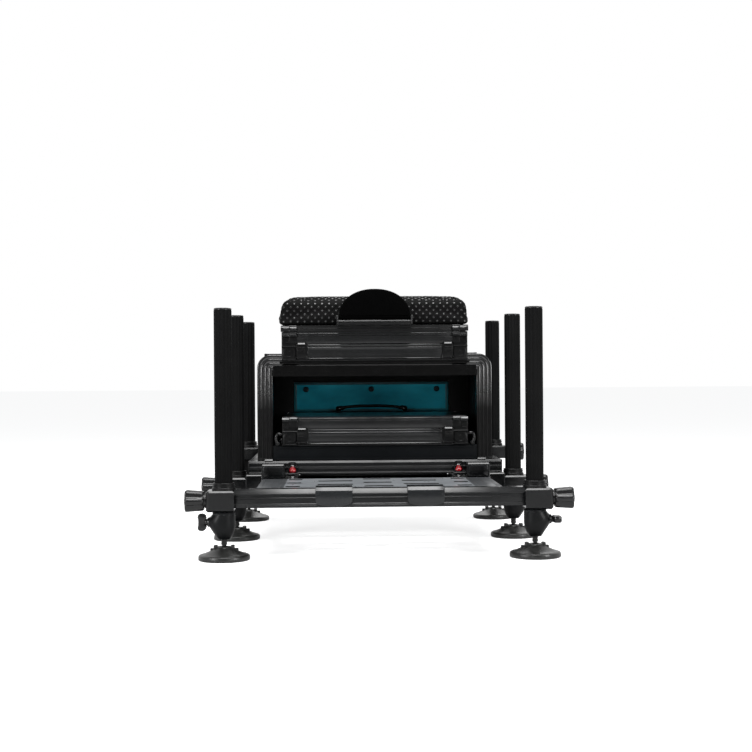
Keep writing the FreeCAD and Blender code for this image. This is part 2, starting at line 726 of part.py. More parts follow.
def make_trays():
    """Base tray, two tray modules, their drawers, catches and side clips."""
    base_z = (rail_z[1], lower_tray_z)
    base = box(centred(base_half_width), (base_front_y, base_back_y), base_z)
    hollowed = box(centred(base_half_width - tray_wall), (base_front_y + tray_wall, base_back_y - tray_wall),
                   (base_z[0] + tray_floor, base_z[1]))
    clip_x = tray_half_width + 10
    clip_z = lower_tray_z + clip_lug_height / 2
    lug = box(about(clip_x, clip_lug_width / 2), (base_front_y, base_front_y + clip_depth),
              (lower_tray_z, lower_tray_z + clip_lug_height))
    clip_y = (base_front_y - run_gap - clip_depth, base_front_y - run_gap)
    pin = rod(clip_pin_radius, V(clip_x, clip_y[0], clip_z), Y_AXIS, base_front_y - clip_y[0])
    save("base_tray", [base.cut(hollowed)] + pair(lug.fuse(pin)))
    strap = box(about(clip_x, clip_width / 4), clip_y, (clip_z, clip_z + clip_length))
    eye = rod(clip_width / 4, V(clip_x, clip_y[0], clip_z), Y_AXIS, clip_y[1] - clip_y[0])
    hook_z = (clip_z + clip_length - clip_hook_height, clip_z + clip_length)
    hook = box((tray_half_width + run_gap, clip_x), clip_y, hook_z)
    bore = rod(clip_pin_radius + shaft_gap, V(clip_x, clip_y[0], clip_z), Y_AXIS, clip_y[1] - clip_y[0])
    clip = strap.fuse([eye, hook]).cut(bore).removeSplitter()
    save("side_clip_right", [clip])
    save("side_clip_left", [left_of(clip)])

    save("lower_tray", [tray_shell(lower_tray_z, True)])
    upper = tray_shell(upper_tray_z, False)
    hinge_y, hinge_z = lid_axis()
    knuckle = hinge_knuckle(tray_knuckle_x, (hinge_z - hinge_radius, hinge_z - run_gap))
    pin = rod(hinge_pin_radius, V(-hinge_pin_half, hinge_y, hinge_z), X_AXIS, 2 * hinge_pin_half)
    upper = upper.fuse(pair(knuckle)).cut(pin)
    save("upper_tray", [upper.removeSplitter(), pin])
    for name, low in (("lower", lower_tray_z), ("upper", upper_tray_z)):
        save(name + "_drawer", [drawer(low)])
        save(name + "_catch_right", [catch(low)])
        save(name + "_catch_left", [left_of(catch(low))])


def lid_axis():
    """Where the seat's hinge runs behind the upper tray."""
    return tray_back_y + hinge_behind, upper_tray_z + tray_height


def hinge_knuckle(x, tab_z):
    """A knuckle of the seat's hinge, with the tab that joins it on."""
    hinge_y, hinge_z = lid_axis()
    barrel = rod(hinge_radius, V(x, hinge_y, hinge_z), X_AXIS, knuckle_length)
    return barrel.fuse(box((x, x + knuckle_length), (tray_back_y - 1, hinge_y), tab_z))


def make_seat():
    """The hinged seat: frame, cushion and pole grip."""
    low = upper_tray_z + tray_height + run_gap
    high = low + seat_frame_height
    outer = box(centred(seat_frame_half), (tray_front_y, tray_back_y), (low, high))
    inner = box(centred(seat_frame_half - tray_wall), (tray_front_y + tray_wall, tray_back_y - tray_wall),
                (low, high - tray_floor))
    ends = edges_along(outer, Z_AXIS, lambda place: True)
    frame = outer.makeFillet(edge_round, ends).cut(inner)
    hinge_y, hinge_z = lid_axis()
    knuckle = hinge_knuckle(lid_knuckle_x, (low, hinge_z + hinge_radius))
    frame = frame.fuse(pair(knuckle))
    bore_start = V(-hinge_pin_half, hinge_y, hinge_z)
    frame = frame.cut(rod(hinge_pin_radius + shaft_gap, bore_start, X_AXIS, 2 * hinge_pin_half))

    grip_y = tray_front_y - grip_thickness / 2 - 1
    pivot_z = grip_base_z + 4
    base_y = (grip_y - grip_thickness / 2 - 2, tray_front_y)
    base_top = pivot_z - grip_thickness / 2 - run_gap
    bracket = box(centred(grip_half_width + 5), base_y, (high - 6, base_top))
    ears = pair(box((grip_half_width + 1, grip_half_width + 5), base_y, (high - 6, pivot_z + 5)))
    pins = pair(rod(grip_pin_radius, V(grip_half_width - 7, grip_y, pivot_z), X_AXIS, 10))
    bracket = bracket.fuse(ears + pins).removeSplitter()
    save("seat_frame", [frame.removeSplitter(), bracket])

    plate_y = (grip_y - grip_thickness / 2, grip_y + grip_thickness / 2)
    ellipse = Part.Ellipse(V(grip_half_width, 0, 0), V(0, grip_height, 0), V(0, 0, 0))
    disc = Part.Face(Part.Wire(ellipse.toShape())).extrude(V(0, 0, grip_thickness))
    disc.rotate(V(0, 0, 0), X_AXIS, 90)
    disc.translate(V(0, plate_y[1], pivot_z))
    upper_half = box(centred(grip_half_width), plate_y, (pivot_z, pivot_z + grip_height))
    barrel = rod(grip_thickness / 2, V(-grip_half_width, grip_y, pivot_z), X_AXIS, 2 * grip_half_width)
    grip = disc.common(upper_half).fuse(barrel)
    bore = rod(grip_pin_radius + shaft_gap, V(-grip_half_width, grip_y, pivot_z), X_AXIS, 2 * grip_half_width)
    save("pole_grip", [grip.cut(bore)])
    save("seat_cushion", [cushion(high + run_gap)])


def cushion_profile(half, low, high, waist, lift):
    """Half of a cushion's section: drawn-in foot, round shoulder and crowned top."""
    shoulder = high - cushion_crown
    turn = cushion_round * (1 - math.sqrt(0.5))
    right = [V(half - waist, low, 0), V(half, low + lift, 0), V(half, shoulder - cushion_round, 0),
             V(half - turn, shoulder - turn, 0), V(half - cushion_round, shoulder, 0)]
    left = [V(-place.x, place.y, 0) for place in right]
    edges = [
        Part.makeLine(left[0], right[0]),
        Part.makeLine(right[0], right[1]),
        Part.makeLine(right[1], right[2]),
        Part.Arc(right[2], right[3], right[4]).toShape(),
        Part.Arc(right[4], V(0, high, 0), left[4]).toShape(),
        Part.Arc(left[4], left[3], left[2]).toShape(),
        Part.makeLine(left[2], left[1]),
        Part.makeLine(left[1], left[0]),
    ]
    return Part.Face(Part.Wire(edges))


def cushion(low):
    """The padded seat, crowned both ways and drawn in at its foot."""
    high = low + cushion_height
    middle_y = (cushion_front_y + cushion_back_y) / 2
    half_y = (cushion_back_y - cushion_front_y) / 2
    across = cushion_profile(cushion_half_width, low, high, 4.0, 14.0).extrude(V(0, 0, 2 * half_y))
    across.rotate(V(0, 0, 0), X_AXIS, 90)
    across.translate(V(0, cushion_back_y, 0))
    along = cushion_profile(half_y, low, high, 4.0, 14.0).extrude(V(0, 0, 2 * cushion_half_width))
    along.rotate(V(0, 0, 0), X_AXIS, 90)
    along.rotate(V(0, 0, 0), Z_AXIS, 90)
    along.translate(V(-cushion_half_width, middle_y, 0))
    return across.common(along)


make_legs()
make_leg_blocks()
make_footplate()
make_guides()
make_chassis()
make_shell()
make_back_frame()
make_trays()
make_seat()
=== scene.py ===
import bpy
import bmesh
import math
import numpy as np
from mathutils import Matrix, Vector


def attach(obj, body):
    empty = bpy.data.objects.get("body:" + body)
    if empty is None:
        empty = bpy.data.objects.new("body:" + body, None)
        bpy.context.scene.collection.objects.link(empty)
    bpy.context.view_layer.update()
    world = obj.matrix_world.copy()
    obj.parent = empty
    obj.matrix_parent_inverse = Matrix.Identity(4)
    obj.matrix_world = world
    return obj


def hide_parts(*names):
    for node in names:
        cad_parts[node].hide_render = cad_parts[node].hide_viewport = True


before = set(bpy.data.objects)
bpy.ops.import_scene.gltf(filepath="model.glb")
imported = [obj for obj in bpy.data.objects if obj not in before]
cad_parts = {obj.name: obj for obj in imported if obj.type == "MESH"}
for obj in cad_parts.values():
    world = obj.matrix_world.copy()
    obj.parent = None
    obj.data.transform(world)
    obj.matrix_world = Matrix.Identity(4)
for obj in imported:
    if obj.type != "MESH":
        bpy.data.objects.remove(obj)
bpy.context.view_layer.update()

MM = 0.001
LEG_X = 313.5
ROWS = {"front": -370.0, "middle": -30.0, "rear": 370.0}
WING_Z = 76.0
PLUNGER_X, PLUNGER_Y = 186.0, -71.0
RAIL_TOP = 177.0
TRAYS = {"lower": 211.0, "upper": 402.0}
SEAT_HINGE = (0, 323.5, 467.0)
FLAP_HINGE = (0, 299.3, 352)
CLIP_X, CLIP_Z = 219, 215.5
SIDES = (-1, 1)


# Materials

class Tree:
    """The nodes of a material or a world, with short ways to add the common ones."""

    def __init__(self, name, home=bpy.data.materials):
        self.owner = home.new(name)
        self.owner.use_nodes = True
        self.nodes = self.owner.node_tree.nodes
        self.links = self.owner.node_tree.links
        self.shader = self.nodes.get("Principled BSDF")
        self.coords = self.new("TexCoord").outputs

    def plug(self, value, socket):
        """Feeds a socket from another node's output, or sets it to a plain value."""
        if hasattr(value, "is_output"):
            self.links.new(value, socket)
        else:
            socket.default_value = value

    def new(self, kind, inputs=(), **settings):
        node = self.nodes.new("ShaderNode" + kind)
        for key, value in settings.items():
            setattr(node, key, value)
        for key, value in inputs:
            self.plug(value, node.inputs[key])
        return node

    def noise(self, scale, detail=3.0, rough=0.6, stretch=(1, 1, 1)):
        place = self.new("Mapping", (("Vector", self.coords["Object"]), ("Scale", stretch)))
        return self.new("TexNoise", (("Scale", scale), ("Detail", detail), ("Roughness", rough),
                                     ("Vector", place.outputs["Vector"]))).outputs["Fac"]

    def ramp(self, value, *stops):
        """A colour ramp between two stops, each a place and a colour."""
        node = self.new("ValToRGB", (("Fac", value),))
        for element, (place, colour) in zip(node.color_ramp.elements, stops):
            element.position = place
            element.color = (*colour, 1)
        return node.outputs["Color"]

    def span(self, value, low, high, into_low, into_high):
        return self.new("MapRange", enumerate((value, low, high, into_low, into_high))).outputs[0]

    def mix(self, factor, first, second, kind="MIX"):
        first, second = (value if hasattr(value, "is_output") else (*value, 1) for value in (first, second))
        return self.new("Mix", ((0, factor), (6, first), (7, second)), data_type="RGBA",
                        blend_type=kind).outputs[2]

    def math(self, kind, first, second=0.0):
        return self.new("Math", enumerate((first, second)), operation=kind).outputs[0]

    def waves(self, value, factor):
        """The absolute sine of a value times a factor."""
        return self.math("ABSOLUTE", self.math("SINE", self.math("MULTIPLY", value, factor)))

    def bump(self, *layers):
        """Chains bump layers, each a height, a strength and a depth in millimetres."""
        last = None
        for height, strength, depth in layers:
            node = self.new("Bump", (("Strength", strength), ("Distance", depth * MM), ("Height", height)))
            if last:
                self.plug(last, node.inputs["Normal"])
            last = node.outputs["Normal"]
        self.set(Normal=last)

    def edges(self, radius):
        """A mask that is 1 along worn convex edges and 0 on flat faces."""
        rounded = self.new("Bevel", (("Radius", radius * MM),), samples=3).outputs["Normal"]
        flat = self.new("NewGeometry").outputs["True Normal"]
        dot = self.new("VectorMath", ((0, rounded), (1, flat)), operation="DOT_PRODUCT")
        return self.span(dot.outputs["Value"], 0.995, 0.86, 0.0, 1.0)

    def seen(self):
        """Two masks: the camera's own rays, and what the camera, mirrors and glass see directly."""
        rays = self.new("LightPath").outputs
        direct = self.math("MAXIMUM", rays["Is Camera Ray"], rays["Is Glossy Ray"])
        return rays["Is Camera Ray"], self.math("MAXIMUM", direct, rays["Is Transmission Ray"])

    def set(self, **values):
        """Feeds or sets the shader's sockets, with underscores for the spaces in their names."""
        for name, value in values.items():
            self.plug(value, self.shader.inputs[name.replace("_", " ")])


def coated(name, dark, light, rough, spec, grain=1400.0, depth=0.03, metal=0.0, streak=None, wear=None):
    """A painted, anodised or moulded surface: grain, slow patches, smudges and worn edges."""
    tree = Tree(name)
    fine = tree.noise(grain, 2.0, 0.5)
    tone = tree.ramp(tree.noise(11.0, 4.0, 0.55), (0.32, dark), (0.68, light))
    speck = tree.ramp(tree.span(fine, 0.3, 0.7, 0.88, 1.12), (0.0, (0, 0, 0)), (1.0, (1, 1, 1)))
    tone = tree.mix(1.0, tone, speck, "MULTIPLY")
    layers = [(fine, 0.18, depth)]
    smudged = tree.span(tree.noise(38.0, 4.0, 0.55), 0.3, 0.7, rough - 0.03, rough + 0.05)
    if streak:
        lines = tree.noise(1.0, 2.0, 0.6, streak)
        layers.append((lines, 0.07, depth))
        smudged = tree.math("ADD", smudged, tree.span(lines, 0.3, 0.7, -0.02, 0.03))
        tone = tree.mix(tree.span(lines, 0.4, 0.75, 0.0, 0.3), tone, light)
    if wear:
        patchy = tree.span(tree.noise(160.0, 4.0, 0.7), 0.42, 0.62, 0.15, 1.0)
        tone = tree.mix(tree.math("MULTIPLY", tree.edges(0.9), patchy), tone, wear)
    tree.bump(*layers)
    tree.set(Base_Color=tone, Roughness=smudged, Metallic=metal, Specular_IOR_Level=spec)
    return tree.owner


def grey(value, cool=0.06):
    """A near-neutral dark colour, a little cooler than grey."""
    return (value * (1 - cool), value, value * (1 + cool))


def greys(name, dark, light, cool, rough, spec, grain=1400.0, depth=0.03, **extra):
    return coated(name, grey(dark, cool), grey(light, cool), rough, spec, grain, depth, **extra)


WORN = grey(0.08)
ALONG_X, ALONG_Y = (5, 1200, 1200), (900, 7, 900)

TUBE = greys("anodised_tube", 0.0028, 0.0050, 0.02, 0.60, 0.05, streak=(900, 900, 6))
CASTING = greys("cast_alloy", 0.0014, 0.0026, 0.14, 0.18, 0.34, 900.0, 0.06, wear=WORN)
SOCKET = greys("socket_alloy", 0.0018, 0.0034, 0.14, 0.36, 0.16, 900.0, 0.06, wear=WORN)
EXTRUSION = greys("extruded_rail", 0.004, 0.007, 0.08, 0.20, 0.36, streak=(5, 1100, 1100))
SIDE_RAIL = greys("extruded_side_rail", 0.004, 0.007, 0.08, 0.26, 0.14, streak=(1100, 5, 1100))
PLATE = greys("brushed_plate", 0.20, 0.27, 0.06, 0.30, 0.50, streak=ALONG_Y, metal=0.15)
PLASTIC = greys("moulded_plastic", 0.006, 0.010, 0.03, 0.32, 0.34, 1700.0, 0.04)
POST = greys("corner_plastic", 0.0022, 0.0045, 0.03, 0.34, 0.14, 1700.0, 0.04)
CORNER = greys("polished_corner", 0.004, 0.007, 0.06, 0.16, 0.45, 1700.0, 0.02)
DRAWER = greys("drawer_front", 0.005, 0.008, 0.05, 0.18, 0.42, streak=ALONG_X)
GLOSS = greys("polished_plastic", 0.004, 0.007, 0.01, 0.19, 0.55, 500.0, 0.01)
LINER = greys("bay_plastic", 0.005, 0.008, 0.0, 0.50, 0.14, 1100.0, 0.08)
BASE = greys("base_plastic", 0.0032, 0.0048, 0.20, 0.46, 0.08, 1500.0, 0.05)
KNOB = greys("knob_plastic", 0.0040, 0.0070, 0.04, 0.22, 0.40, 1700.0, 0.02)
FOAM = greys("closed_cell_foam", 0.0006, 0.0010, 0.0, 0.85, 0.02, 2200.0, 0.25)
COLLAR = greys("collar_plastic", 0.0030, 0.0055, 0.02, 0.36, 0.16, 1500.0, 0.04)
STUD = greys("black_steel", 0.012, 0.020, 0.0, 0.28, 0.50, 900.0, 0.02, metal=0.6)
STRIP = greys("side_strip", 0.048, 0.066, 0.06, 0.30, 0.50, streak=(1000, 6, 1000))
CLIP = greys("saddle_plastic", 0.008, 0.013, 0.12, 0.22, 0.42, 1600.0, 0.03)
HANDLE = greys("handle_plastic", 0.004, 0.006, 0.0, 0.24, 0.35, 1600.0, 0.03)
# Painted shade: the bar under the upper tray is coloured darker than the other black plastics, for the shade
# beneath the tray's overhang
BAR = greys("front_bar", 0.001, 0.0015, 0.0, 0.22, 0.17, streak=ALONG_X)
RIM = greys("seat_rim", 0.004, 0.007, 0.02, 0.22, 0.34, streak=ALONG_X)
STEEL = greys("bright_steel", 0.45, 0.60, 0.0, 0.25, 0.50, 900.0, 0.01, metal=1.0)
STUD_HEAD = coated("stud_plastic", (0.001, 0.010, 0.014), (0.002, 0.016, 0.022), 0.35, 0.25, 1500.0, 0.02)
TEAL_EDGE = coated("teal_border", (0.003, 0.070, 0.090), (0.006, 0.120, 0.150), 0.30, 0.40,
                   streak=(900, 900, 900))


def foot_rubber():
    """Rubber with a lumpy skin and dust in its hollows."""
    tree = Tree("foot_rubber")
    slow = tree.noise(45.0, 5.0, 0.6)
    tone = tree.ramp(slow, (0.3, (0.0040, 0.0042, 0.0038)), (0.7, (0.0085, 0.0089, 0.0080)))
    dust = tree.span(tree.noise(120.0, 6.0, 0.7), 0.52, 0.75, 0.0, 0.20)
    tree.bump((tree.noise(1500.0, 2.0, 0.5), 0.4, 0.06), (tree.noise(420.0, 4.0, 0.6), 0.5, 0.30))
    tree.set(Base_Color=tree.mix(dust, tone, (0.03, 0.03, 0.028)), Specular_IOR_Level=0.5,
             Roughness=tree.span(slow, 0.3, 0.7, 0.30, 0.42))
    return tree.owner


def hoop_plastic():
    """Moulded hoop: polished over its upper half, dulled by handling and rain lower down."""
    tree = Tree("hoop_plastic")
    slow = tree.noise(26.0, 4.0, 0.6)
    height = tree.new("SeparateXYZ", ((0, tree.coords["Object"]),)).outputs[2]
    height = tree.math("ADD", height, tree.span(slow, 0.3, 0.7, -0.006, 0.006))
    polish = tree.span(height, 0.292, 0.372, 0.0, 1.0)
    tree.bump((tree.noise(500.0, 3.0, 0.5), 0.1, 0.01))
    tree.set(Base_Color=tree.ramp(slow, (0.3, grey(0.0030, 0.0)), (0.7, grey(0.0055, 0.0))),
             Roughness=tree.span(polish, 0.0, 1.0, 0.36, 0.16),
             Specular_IOR_Level=tree.span(polish, 0.0, 1.0, 0.10, 1.0))
    return tree.owner


def red_plastic():
    """The plunger's red button, a little translucent under its gloss."""
    tree = Tree("red_plastic")
    slow = tree.noise(160.0, 3.0, 0.5)
    tree.bump((tree.noise(900.0), 0.2, 0.02))
    tree.set(Base_Color=tree.ramp(slow, (0.3, (0.26, 0.008, 0.012)), (0.7, (0.46, 0.020, 0.026))),
             Roughness=tree.span(slow, 0.3, 0.7, 0.14, 0.24), Subsurface_Weight=0.2,
             Subsurface_Scale=0.004, Coat_Weight=0.6, Coat_Roughness=0.08)
    return tree.owner


def teal_sheet():
    """The flap's tinted sheet, which lets some light through."""
    tree = Tree("teal_sheet")
    slow = tree.noise(9.0, 3.0, 0.5, (1, 1, 2.2))
    scratch = tree.noise(1.0, 3.0, 0.7, (30, 30, 1400))
    tree.bump((scratch, 0.08, 0.01))
    tree.set(Base_Color=tree.ramp(slow, (0.3, (0.011, 0.190, 0.265)), (0.7, (0.028, 0.360, 0.460))),
             Roughness=tree.span(scratch, 0.35, 0.7, 0.10, 0.24), Transmission_Weight=0.45, IOR=1.10,
             Specular_IOR_Level=0.25)
    return tree.owner


def quilted_fabric():
    """Black woven cover with a stitched diamond lattice: painted shade darkens its creases, and each diamond's
    glint is partly real gloss and partly a painted highlight in its colour.
    """
    tree = Tree("quilted_fabric")
    place = tree.new("UVMap", uv_map="lattice").outputs["UV"]
    u, v, _ = tree.new("SeparateXYZ", ((0, place),)).outputs
    total, apart = tree.math("ADD", u, v), tree.math("SUBTRACT", u, v)
    first, second = tree.waves(total, math.pi), tree.waves(apart, math.pi)
    line = tree.span(tree.math("MINIMUM", first, second), 0.0, 0.16, 1.0, 0.0)
    dot = tree.span(tree.math("MULTIPLY", first, second), 0.72, 0.97, 0.0, 1.0)
    dashes = tree.math("MULTIPLY", tree.waves(total, 6 * math.pi), tree.waves(apart, 6 * math.pi))
    thread = tree.math("MULTIPLY", line, tree.span(dashes, 0.1, 0.5, 0.0, 1.0))
    weave = tree.math("MULTIPLY", tree.noise(1.0, 1.0, 0.5, (2600, 500, 500)),
                      tree.noise(1.0, 1.0, 0.5, (500, 2600, 2600)))
    sparkle = tree.span(tree.noise(260.0, 3.0, 0.6), 0.42, 0.62, 0.25, 1.0)
    tone = tree.ramp(tree.noise(14.0, 4.0, 0.6), (0.3, grey(0.0028, 0.0)), (0.7, grey(0.0050, 0.0)))
    # Painted highlight: the middle of each diamond is lightened in the colour where it glints, on top of its real
    # gloss
    painted_glint = tree.math("MULTIPLY", dot, tree.math("MULTIPLY", sparkle, 0.9))
    # The mixes below paint shade into the stitched creases, give the thread its own colour and paint the glint
    # into the colour
    for mask, value in ((tree.math("MULTIPLY", line, 0.7), 0.001),
                        (tree.math("MULTIPLY", thread, 0.5), 0.010), (painted_glint, 0.035)):
        tone = tree.mix(mask, tone, grey(value, 0.0))
    tree.bump((weave, 0.5, 0.12), (dot, 0.4, 0.35), (thread, 0.4, 0.25))
    tree.set(Base_Color=tone, Roughness=tree.span(dot, 0.0, 1.0, 0.60, 0.22),
             Specular_IOR_Level=tree.span(dot, 0.2, 1.0, 0.04, 0.60))
    return tree.owner


HOOP = hoop_plastic()
RUBBER = foot_rubber()
RED = red_plastic()
TEAL = teal_sheet()
FABRIC = quilted_fabric()


# Mesh helpers: all sizes in millimetres, in the shared frame

def new_object(name, mesh, mat, angle=32.0):
    mesh.materials.clear()
    mesh.materials.append(mat)
    mesh.polygons.foreach_set("use_smooth", [True] * len(mesh.polygons))
    mesh.set_sharp_from_angle(angle=math.radians(angle))
    made = bpy.data.objects.new(name, mesh)
    bpy.context.scene.collection.objects.link(made)
    return made


def from_lists(name, points, faces, mat, angle=32.0):
    mesh = bpy.data.meshes.new(name)
    mesh.from_pydata([Vector(point) * MM for point in points], [], faces)
    build = bmesh.new()
    build.from_mesh(mesh)
    bmesh.ops.recalc_face_normals(build, faces=build.faces)
    build.to_mesh(mesh)
    build.free()
    return new_object(name, mesh, mat, angle)


def spread(side, inner, outer):
    """The x span between two distances from the middle, on one side of the box."""
    return sorted((side * inner, side * outer))


def brick(x, y, z, mat, bevel=1.0, steps=2, keep=None):
    """A block with rounded edges; keep chooses which edges are rounded."""
    build = bmesh.new()
    bmesh.ops.create_cube(build, size=1.0)
    size = Vector((x[1] - x[0], y[1] - y[0], z[1] - z[0]))
    middle = Vector((x[0] + x[1], y[0] + y[1], z[0] + z[1])) / 2
    for vert in build.verts:
        vert.co = Vector((vert.co[i] * size[i] for i in range(3))) + middle
    edges = [edge for edge in build.edges if keep is None or keep(edge)]
    bmesh.ops.bevel(build, geom=edges, offset=bevel, segments=steps, profile=0.5, affect="EDGES",
                    clamp_overlap=True)
    for vert in build.verts:
        vert.co *= MM
    mesh = bpy.data.meshes.new("brick")
    build.to_mesh(mesh)
    build.free()
    return new_object("brick", mesh, mat)


def ribs(x, y, heights, half, mat, bevel, steps=1):
    """Raised strips at several heights, each as high as twice the half."""
    return [brick(x, y, (z - half, z + half), mat, bevel, steps) for z in heights]


AXES = {"x": Matrix(((0, 0, 1), (1, 0, 0), (0, 1, 0))), "y": Matrix(((1, 0, 0), (0, 0, -1), (0, 1, 0))),
        "z": Matrix.Identity(3)}


def ring_stack(stations, centre, axis, mat, steps=64, close=True, angle=32.0):
    """Joins rings along an axis: each has a place and a radius, or a function of angle for it."""
    turn = AXES[axis]
    points, faces = [], []
    for place, radius in stations:
        for index in range(steps):
            a = 2 * math.pi * index / steps
            r = radius(a) if callable(radius) else radius
            points.append(turn @ Vector((r * math.cos(a), r * math.sin(a), place)) + Vector(centre))
    last = (len(stations) - 1) * steps
    for low in range(0, last, steps):
        for index in range(steps):
            after = (index + 1) % steps
            faces.append((low + index, low + after, low + steps + after, low + steps + index))
    if close:
        faces += [tuple(reversed(range(steps))), tuple(range(last, last + steps))]
    return from_lists("rings", points, faces, mat, angle)


def ball(radius, centre, mat):
    stations = [(radius * math.sin(math.radians(d)), radius * math.cos(math.radians(d)) + 0.05)
                for d in range(-90, 91, 15)]
    return ring_stack(stations, centre, "z", mat, steps=32)


def rod(x, centre, radius, ease, drop, mat, steps):
    """A round bar along x whose ends ease over a length by a drop in radius."""
    stations = [(x[0], radius - drop), (x[0] + ease, radius), (x[1] - ease, radius), (x[1], radius - drop)]
    return ring_stack(stations, centre, "x", mat, steps)


def prism(outlines, span, axis, mat, bevel=0.6, steps=1, smooth=32.0):
    """A flat outline with holes, pushed along x in (y, z), along y in (x, z) or along z in (x, y)."""
    curve = bpy.data.curves.new("prism", "CURVE")
    curve.dimensions = "2D"
    curve.fill_mode = "BOTH"
    curve.extrude = (span[1] - span[0]) / 2 * MM - bevel * MM
    curve.bevel_depth = bevel * MM
    curve.bevel_resolution = steps
    curve.offset = -bevel * MM
    for outline in outlines:
        spline = curve.splines.new("POLY")
        spline.points.add(len(outline) - 1)
        for point, (u, v) in zip(spline.points, outline):
            point.co = (u * MM, v * MM, 0, 1)
        spline.use_cyclic_u = True
    mesh = curve_mesh(curve)
    middle = (span[0] + span[1]) / 2 * MM
    for vert in mesh.vertices:
        u, v, w = vert.co
        vert.co = {"x": (middle + w, u, v), "y": (u, middle - w, v), "z": (u, v, middle + w)}[axis]
    build = bmesh.new()
    build.from_mesh(mesh)
    bmesh.ops.remove_doubles(build, verts=build.verts, dist=0.00001)
    build.to_mesh(mesh)
    build.free()
    return new_object("prism", mesh, mat, smooth)


def curve_mesh(curve):
    holder = bpy.data.objects.new("curve", curve)
    mesh = bpy.data.meshes.new_from_object(holder)
    bpy.data.objects.remove(holder)
    return mesh


def arc(centre, radius, start, stop, steps):
    """Points on an arc of an outline, from one angle in degrees to another."""
    angles = [math.radians(start + (stop - start) * step / steps) for step in range(steps + 1)]
    return [(centre[0] + radius * math.cos(a), centre[1] + radius * math.sin(a)) for a in angles]


def rectangle(x, y, r=0.0, steps=4):
    """The corners of a rectangle, rounded by a radius if one is given."""
    if not r:
        return [(x[0], y[0]), (x[1], y[0]), (x[1], y[1]), (x[0], y[1])]
    corners = ((x[1] - r, y[0] + r, -90), (x[1] - r, y[1] - r, 0), (x[0] + r, y[1] - r, 90),
               (x[0] + r, y[0] + r, 180))
    return [point for cx, cy, start in corners for point in arc((cx, cy), r, start, start + 90, steps)]


def bar_along(points, radius, mat):
    """A round bar along a smooth line of points, each with an optional share of the radius."""
    curve = bpy.data.curves.new("bar", "CURVE")
    curve.dimensions = "3D"
    curve.bevel_depth = radius * MM
    curve.bevel_resolution = 6
    curve.use_fill_caps = True
    curve.resolution_u = 8
    spline = curve.splines.new("NURBS")
    spline.points.add(len(points) - 1)
    for target, point in zip(spline.points, points):
        target.co = (point[0] * MM, point[1] * MM, point[2] * MM, 1)
        target.radius = point[3] if len(point) > 3 else 1.0
    spline.order_u = 3
    spline.use_endpoint_u = True
    return new_object("bar", curve_mesh(curve), mat, 50.0)


def flipped(part):
    """Turns a part's mesh into its mirror image on the other side of the box."""
    part.data.transform(Matrix.Scale(-1, 4, (1, 0, 0)))
    part.data.flip_normals()
    return part


def both_sides(parts):
    """The parts and their mirror images."""
    copies = []
    for part in parts:
        made = part.copy()
        made.data = part.data.copy()
        bpy.context.scene.collection.objects.link(made)
        copies.append(flipped(made))
    return parts + copies


def turned(source, degrees, centre, axis="X"):
    """Turns a piece's mesh about a point."""
    place = Matrix.Translation(Vector(centre) * MM)
    source.data.transform(place @ Matrix.Rotation(math.radians(degrees), 4, axis) @ place.inverted())
    return source


def finish_piece(name, parts, body, node):
    """Joins the parts into one piece that rides on a body and stands for its node."""
    with bpy.context.temp_override(active_object=parts[0], selected_editable_objects=parts,
                                   selected_objects=parts, object=parts[0]):
        if len(parts) > 1:
            bpy.ops.object.join()
    piece = parts[0]
    piece.name = name
    piece.data.name = name
    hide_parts(node)
    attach(piece, body)
    return piece


# Legs: each part is made for the right side and flipped for the left

def leg_tube(y):
    def flutes(a):
        return 18.0 - 0.75 * max(0.0, math.cos(14 * a)) ** 0.6

    wall = ring_stack([(58.0, flutes), (500.6, flutes), (501.9, 17.2), (501.9, 15.6), (480.0, 15.6)],
                      (LEG_X, y, 0), "z", TUBE, steps=196, close=False, angle=38)
    cap = ring_stack([(496.0, 15.5), (502.0, 15.5), (502.05, 17.7), (503.6, 17.9), (505.2, 17.2), (506.0, 15.6),
                      (506.0, 12.4), (505.3, 11.8), (505.3, 0.5)], (LEG_X, y, 0), "z", PLASTIC)
    return [wall, cap]


def leg_end(y):
    """The casting: straight on the inside, bulging outward into the boss of the wing screw."""
    levels = ((42.0, 12.0, 0.0), (43.2, 13.6, 0.0), (47.0, 15.6, 0.4), (52.0, 18.2, 1.2), (58.0, 20.6, 2.8),
              (64.0, 21.9, 5.4), (70.0, 22.5, 8.2), (76.0, 22.5, 9.4), (82.0, 22.5, 7.6), (88.0, 22.5, 4.0),
              (91.4, 22.5, 1.6), (92.0, 21.7, 1.2), (92.8, 21.7, 0.9), (93.4, 22.7, 0.6), (95.2, 22.7, 0.2),
              (96.0, 21.9, 0.0), (96.0, 18.4, 0.0))
    stations = [(z, lambda a, r=radius, b=bulge: r + b * max(0.0, math.cos(a)) ** 2)
                for z, radius, bulge in levels]
    body = ring_stack(stations, (LEG_X, y, 0), "z", SOCKET, steps=72)
    boss = ring_stack([(14.0, 17.0), (22.0, 15.4), (26.5, 12.2), (29.0, 10.0), (31.8, 9.4), (32.6, 9.0),
                       (33.0, 8.2), (33.0, 4.2)], (LEG_X, y, WING_Z), "x", CASTING, steps=48)
    stud = ring_stack([(14.0, 5.0), (20.0, 4.0), (30.0, 4.0), (30.4, 5.6), (31.0, 6.0), (36.0, 6.0), (36.4, 5.2),
                       (37.6, 5.2), (38.0, 6.0), (46.0, 6.0)], (LEG_X, y, 0), "z", STUD, steps=40)
    return [body, boss, stud, ball(8.8, (LEG_X, y, 17), STUD)]


